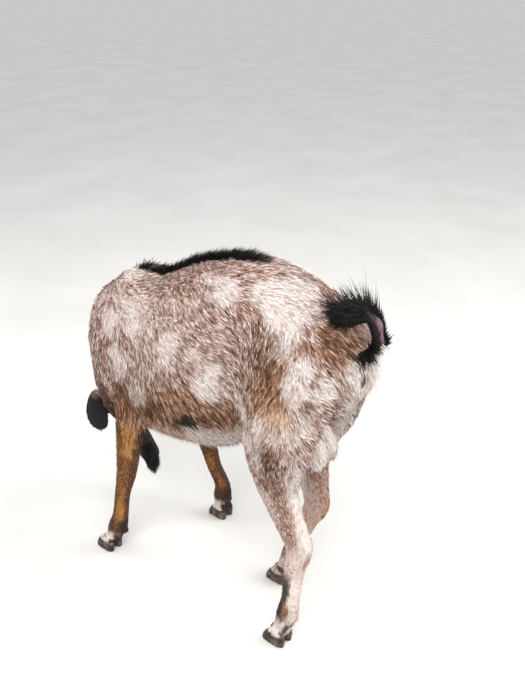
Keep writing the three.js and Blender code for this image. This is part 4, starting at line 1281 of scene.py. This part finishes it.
class GOAT_OT_fringe(bpy.types.Operator):
    """Adds the longer hair under the belly, behind the elbows and on the pale buttock"""
    bl_idname = "goat.fringe"
    bl_label = "Fringe"

    def execute(self, context):
        skin, rng, points, normals, regions = ready_skin(71)
        belly = regions["trunk"] * smoothstep(-0.35, -0.8, normals[:, 2])
        belly *= smoothstep(0.36, 0.32, points[:, 2])
        buttock = self.buttock(points, normals)
        elbow = np.zeros(len(points))
        for leg in LEGS[:2]:
            bend = np.array(JOINTS[leg][1])
            elbow += smoothstep(0.045, 0.02, np.linalg.norm(points - bend - [0.03, 0, 0], axis=1))
        density = belly + 3.5 * buttock + 1.2 * elbow + 1e-7
        count = 3000
        roots, normals, uv = sow(skin, count, rng, density)
        regions, lie, _ = survey(roots)
        pale = self.buttock(roots, normals)
        lie = unit(lie) * 0.6 + np.array([0.1, 0, -0.75]) + normals * 0.2
        lie = lie * (1 - pale)[:, None] + np.array([0.55, 0.4, -0.6]) * pale[:, None]
        lie = lie + rng.normal(0, 0.12, (count, 3))
        lengths = (0.021 + 0.003 * pale) * rng.uniform(0.6, 1.15, count)
        _, drawn = gather(roots, unit(lie), lengths, 900, rng, 0.35)
        marks = markings(roots, normals, regions, 3)
        marks[pale > 0.3] = [1, 0, 0, 0.3]
        shades = rng.uniform(0.1, 1, count) * (1 - pale) + rng.uniform(0.5, 1, count) * pale
        lifts = rng.uniform(0.3, 0.7, count)
        bends = np.tile([0.0, 0.0, -0.2], (count, 1))
        widths = np.full(count, 0.0013)
        piece = grow("fringe", roots, normals, drawn, lengths, widths, lifts, bends, shades, marks, uv, 3)
        finish_piece(piece, made["coat_material"])
        return {"FINISHED"}

    def buttock(self, points, normals):
        """Share of the long white hair below the tail, on the far side."""
        across, down = to_pixels(points)
        near = smoothstep(368, 374, across) * smoothstep(340, 350, down) * smoothstep(396, 380, down)
        return near * smoothstep(0.0, 0.4, normals[:, 0] + 0.4 * normals[:, 1]) * (points[:, 0] > 0.26)


class GOAT_OT_beard(bpy.types.Operator):
    """Hangs the black beard from the chin"""
    bl_idname = "goat.beard"
    bl_label = "Beard"

    def execute(self, context):
        skin = made["skin"]
        rng = np.random.default_rng(61)
        head = to_head(points_of(skin))
        under = smoothstep(-20, -27, head[:, 2]) * smoothstep(172, 190, head[:, 0])
        under *= smoothstep(228, 216, head[:, 0])
        under *= smoothstep(17, 9, abs(head[:, 1])) * (head[:, 2] > -60) + 1e-7
        count = 1300
        roots, normals, uv = sow(skin, count, rng, under)
        inner = smoothstep(14, 3, abs(to_head(roots)[:, 1]))
        lengths = (0.022 + 0.022 * inner) * rng.uniform(0.7, 1.1, count)
        down = np.tile([0.15, -0.05, -1.0], (count, 1)) + rng.normal(0, 0.07, (count, 3))
        _, drawn = gather(roots, unit(down), lengths, 160, rng, 0.4)
        marks = np.tile([0.0, 1, 0, 0.5], (count, 1))
        shades = np.clip(rng.normal(0.45, 0.25, count), 0, 1)
        bends = np.tile([0.0, 0.0, -0.5], (count, 1))
        widths, lifts = np.full(count, 0.0015), rng.uniform(0.25, 0.6, count)
        piece = grow("beard", roots, normals, drawn, lengths, widths, lifts, bends, shades, marks, uv, 3)
        finish_piece(piece, made["coat_material"])
        return {"FINISHED"}


class GOAT_OT_ears(bpy.types.Operator):
    """Smooths the two hanging ears and gives them their black coat"""
    bl_idname = "goat.ears"
    bl_label = "Ears"

    def execute(self, context):
        ears = copy_of(EAR_NODES, "ears")
        apply_modifier(ears, "REMESH", mode="VOXEL", voxel_size=0.0011)
        apply_modifier(ears, "SMOOTH", factor=0.5, iterations=12)
        apply_modifier(ears, "DECIMATE", ratio=0.45)
        unwrap(ears)
        points = points_of(ears)
        paint(ears, self.marks(points))
        paint(ears, np.zeros((len(points), 4)), "bare")
        shade_smooth(ears)
        finish_piece(ears, skin_material(context.scene.goat_colours), EAR_NODES)
        rng = np.random.default_rng(52)
        count = 6000
        roots, normals, uv = sow(ears, count, rng)
        lie = np.tile([0.0, 0.0, -1.0], (count, 1)) + rng.normal(0, 0.14, (count, 3))
        lengths = 0.0075 * rng.uniform(0.7, 1.25, count)
        _, lie = gather(roots, unit(lie), lengths, 1500, rng)
        shades = np.clip(rng.normal(0.18, 0.2, count), 0, 1)
        widths, lifts = np.full(count, 0.0011), rng.uniform(0.1, 0.28, count)
        piece = grow("ear_hair", roots, normals, lie, lengths, widths, lifts, -normals * 0.12, shades,
                     self.marks(roots), uv)
        finish_piece(piece, made["coat_material"])
        return {"FINISHED"}

    def marks(self, points):
        """Black, with some brown and white at the root of each ear."""
        base = smoothstep(0.27, 0.292, points[:, 2] + 0.004 * wander(points, 0.006, 51))
        return np.stack([0.2 * base, 1 - 0.75 * base, 0 * base, 0.5 + 0 * base], 1)


class GOAT_OT_claws(bpy.types.Operator):
    """Rounds the eight claws, gives them ringed dark horn and tucks their tops under the coat"""
    bl_idname = "goat.claws"
    bl_label = "Claws"

    def execute(self, context):
        horn, tree, shader = material("hoof_horn", roughness=0.6, specular=0.3)
        place = node(tree, "ShaderNodeTexCoord").outputs["Object"]
        wave = {"Vector": place, "Scale": 62.0, "Distortion": 2.5, "Detail": 2.0, "Detail Scale": 1.5}
        rings = node(tree, "ShaderNodeTexWave", wave, bands_direction="Z").outputs["Fac"]
        ringed = ramp(tree, rings, (0.2, (0.7, 0.68, 0.66, 1)), (0.8, (1.0, 1.0, 1.0, 1)))
        colour = ramp(tree, speckle(tree, 70.0, 6.0), (0.32, tone(34, 29, 26)), (0.52, tone(74, 63, 54)),
                      (0.72, tone(132, 114, 96)))
        tree.links.new(blend(tree, 1.0, colour, ringed, "MULTIPLY"), shader.inputs["Base Color"])
        bumped(tree, shader, rings, 0.4, 0.0006)
        for leg in LEGS:
            nodes = [f"claw_{leg}_{side}" for side in "ab"]
            claws = copy_of(nodes, f"claws_{leg}")
            apply_modifier(claws, "SUBSURF", levels=2, render_levels=2)
            points = points_of(claws)
            for name in nodes:
                low, high = corners_of(name)
                own = (points[:, 1] > low[1] - 0.0009) & (points[:, 1] < high[1] + 0.0009)
                middle = (low + high) / 2
                shrink = 1 - 0.4 * smoothstep(CORONET - 0.002, CORONET + 0.008, points[own, 2])
                points[own, :2] = middle[:2] + (points[own, :2] - middle[:2]) * shrink[:, None]
                points[own, 2] -= 0.004 * smoothstep(CORONET, high[2], points[own, 2])
            set_points(claws, points)
            finish_piece(claws, horn, nodes)
        return {"FINISHED"}


IRIS_HALF = 0.0078
PUPIL_HALF_WIDE, PUPIL_HALF_HIGH = 0.0040, 0.0017


class GOAT_OT_eyes(bpy.types.Operator):
    """Makes the two amber eyes with their level pupils"""
    bl_idname = "goat.eyes"
    bl_label = "Eyes"

    def execute(self, context):
        for name, side in zip(EYE_NODES, (1, -1)):
            low, high = corners_of(name)
            middle = Vector((low + high) / 2)
            radius = max(high - low) / 2
            bpy.ops.mesh.primitive_uv_sphere_add(segments=48, ring_count=32, radius=radius, location=middle)
            eye = bpy.context.object
            eye.name = eye.data.name = name.replace("eye", "eyeball")
            bpy.ops.object.transform_apply(location=True, rotation=True, scale=True)
            bpy.ops.object.shade_smooth()
            look = Vector(eye_frame(side)[0] @ head_axes())
            points = points_of(eye)
            bulge = ((points - np.array(middle)) @ np.array(look)) / radius
            set_points(eye, points + np.array(look) * (0.0009 * smoothstep(0.8, 0.97, bulge))[:, None])
            level = look.cross(Vector((0, 0, 1))).normalized()
            finish_piece(eye, self.glass(name, middle, look, level), (name,))
        return {"FINISHED"}

    def glass(self, name, middle, look, level):
        """Amber iris with a level bar for a pupil and a dark rim."""
        glass, tree, shader = material(name, roughness=0.05, specular=0.7)
        place = node(tree, "ShaderNodeTexCoord").outputs["Object"]
        offset = node(tree, "ShaderNodeVectorMath", {0: place, 1: middle}, operation="SUBTRACT").outputs[0]
        up = level.cross(look)

        def out(half_wide, half_high, power):
            """One where the eye is half_wide from its middle across or half_high up or down."""
            shares = []
            for way, half in ((level, half_wide), (up, half_high)):
                part = node(tree, "ShaderNodeVectorMath", {0: offset, 1: way / half}, operation="DOT_PRODUCT")
                shares.append(sums(tree, "POWER", sums(tree, "ABSOLUTE", part.outputs["Value"]), power))
            return sums(tree, "ADD", *shares)

        rim = ramp(tree, out(IRIS_HALF, IRIS_HALF, 2.0), (0.55, (0, 0, 0, 1)), (1.0, (1, 1, 1, 1)))
        pupil = out(PUPIL_HALF_WIDE, PUPIL_HALF_HIGH, 4.0)
        dark = ramp(tree, pupil, (0.8, (1, 1, 1, 1)), (1.0, (0, 0, 0, 1)))
        amber = ramp(tree, speckle(tree, 900.0, 5.0), (0.3, tone(120, 76, 26)), (0.7, tone(196, 146, 62)))
        iris = blend(tree, rim, amber, tone(34, 22, 14))
        tree.links.new(blend(tree, dark, iris, tone(8, 7, 8)), shader.inputs["Base Color"])
        shader.inputs["Coat Weight"].default_value = 0.6
        return glass


class GOAT_OT_stage(bpy.types.Operator):
    """Sets the camera, the soft lights and the pale floor"""
    bl_idname = "goat.stage"
    bl_label = "Stage"

    def execute(self, context):
        stage = context.scene.goat_stage
        camera = bpy.data.cameras.new("camera")
        camera.sensor_fit = "VERTICAL"
        camera.sensor_height = SENSOR * 1000
        camera.lens = FOCAL_PIXELS / PHOTO_HIGH * SENSOR * 1000
        holder = bpy.data.objects.new("camera", camera)
        context.scene.collection.objects.link(holder)
        right, up, ahead = camera_axes()
        turn = Matrix((right, up, -ahead)).transposed()
        holder.matrix_world = Matrix.Translation(CAMERA_AT) @ turn.to_4x4()
        context.scene.camera = holder
        bpy.ops.mesh.primitive_plane_add(size=stage.floor, location=(0, 0, 0))
        floor = context.object
        floor.name = floor.data.name = "floor"
        pale, tree, shader = material("floor_pale", roughness=0.9, specular=0.1)
        colour = ramp(tree, speckle(tree, 3.0), (0.3, tone(206, 203, 198)), (0.7, tone(214, 211, 206)))
        tree.links.new(colour, shader.inputs["Base Color"])
        floor.data.materials.append(pale)
        context.scene.view_settings.view_transform = "Standard"
        world = bpy.data.worlds.new("studio")
        context.scene.world = world
        world.use_nodes = True
        backdrop = world.node_tree.nodes["Background"]
        backdrop.inputs["Color"].default_value = (0.93, 0.96, 1.0, 1)
        backdrop.inputs["Strength"].default_value = stage.sky
        for name, place, size, power in (
            ("key", Vector((1.0, -1.3, 2.3)), 1.7, stage.key),
            ("rim", Vector((1.7, 1.2, 1.9)), 1.6, stage.key * 0.75),
            ("front", Vector((-1.8, -0.8, 1.5)), 1.6, stage.key * 0.2),
        ):
            lamp = bpy.data.lights.new(name, "AREA")
            lamp.energy = power
            lamp.size = size
            holder = bpy.data.objects.new(name, lamp)
            context.scene.collection.objects.link(holder)
            holder.location = place
            holder.rotation_euler = (Vector((0, 0, 0.4)) - place).to_track_quat("-Z", "Y").to_euler()
        return {"FINISHED"}


class GOAT_PT_panel(bpy.types.Panel):
    """Sidebar panel that lists the steps"""
    bl_label = "Goat"
    bl_idname = "GOAT_PT_panel"
    bl_space_type = "VIEW_3D"
    bl_region_type = "UI"
    bl_category = "Goat"

    def draw(self, context):
        for step in STEPS:
            self.layout.operator(step.bl_idname)
        for group in (context.scene.goat_coat, context.scene.goat_stage, context.scene.goat_colours):
            box = self.layout.box()
            for key in group.__annotations__:
                box.prop(group, key)


STEPS = (GOAT_OT_skin, GOAT_OT_markings, GOAT_OT_coat, GOAT_OT_crest, GOAT_OT_tail_hair, GOAT_OT_fringe,
         GOAT_OT_beard, GOAT_OT_ears, GOAT_OT_claws, GOAT_OT_eyes, GOAT_OT_stage)
GROUPS = {"goat_colours": GoatColours, "goat_coat": GoatCoat, "goat_stage": GoatStage}


def register():
    for group in GROUPS.values():
        bpy.utils.register_class(group)
    for name, group in GROUPS.items():
        setattr(bpy.types.Scene, name, bpy.props.PointerProperty(type=group))
    for step in STEPS:
        bpy.utils.register_class(step)
    bpy.utils.register_class(GOAT_PT_panel)


def unregister():
    bpy.utils.unregister_class(GOAT_PT_panel)
    for step in reversed(STEPS):
        bpy.utils.unregister_class(step)
    for name, group in GROUPS.items():
        delattr(bpy.types.Scene, name)
        bpy.utils.unregister_class(group)


def main():
    register()
    bpy.ops.goat.skin()
    bpy.ops.goat.markings()
    bpy.ops.goat.coat()
    bpy.ops.goat.crest()
    bpy.ops.goat.tail_hair()
    bpy.ops.goat.fringe()
    bpy.ops.goat.beard()
    bpy.ops.goat.ears()
    bpy.ops.goat.claws()
    bpy.ops.goat.eyes()
    bpy.ops.goat.stage()


if __name__ == "__main__":
    main()
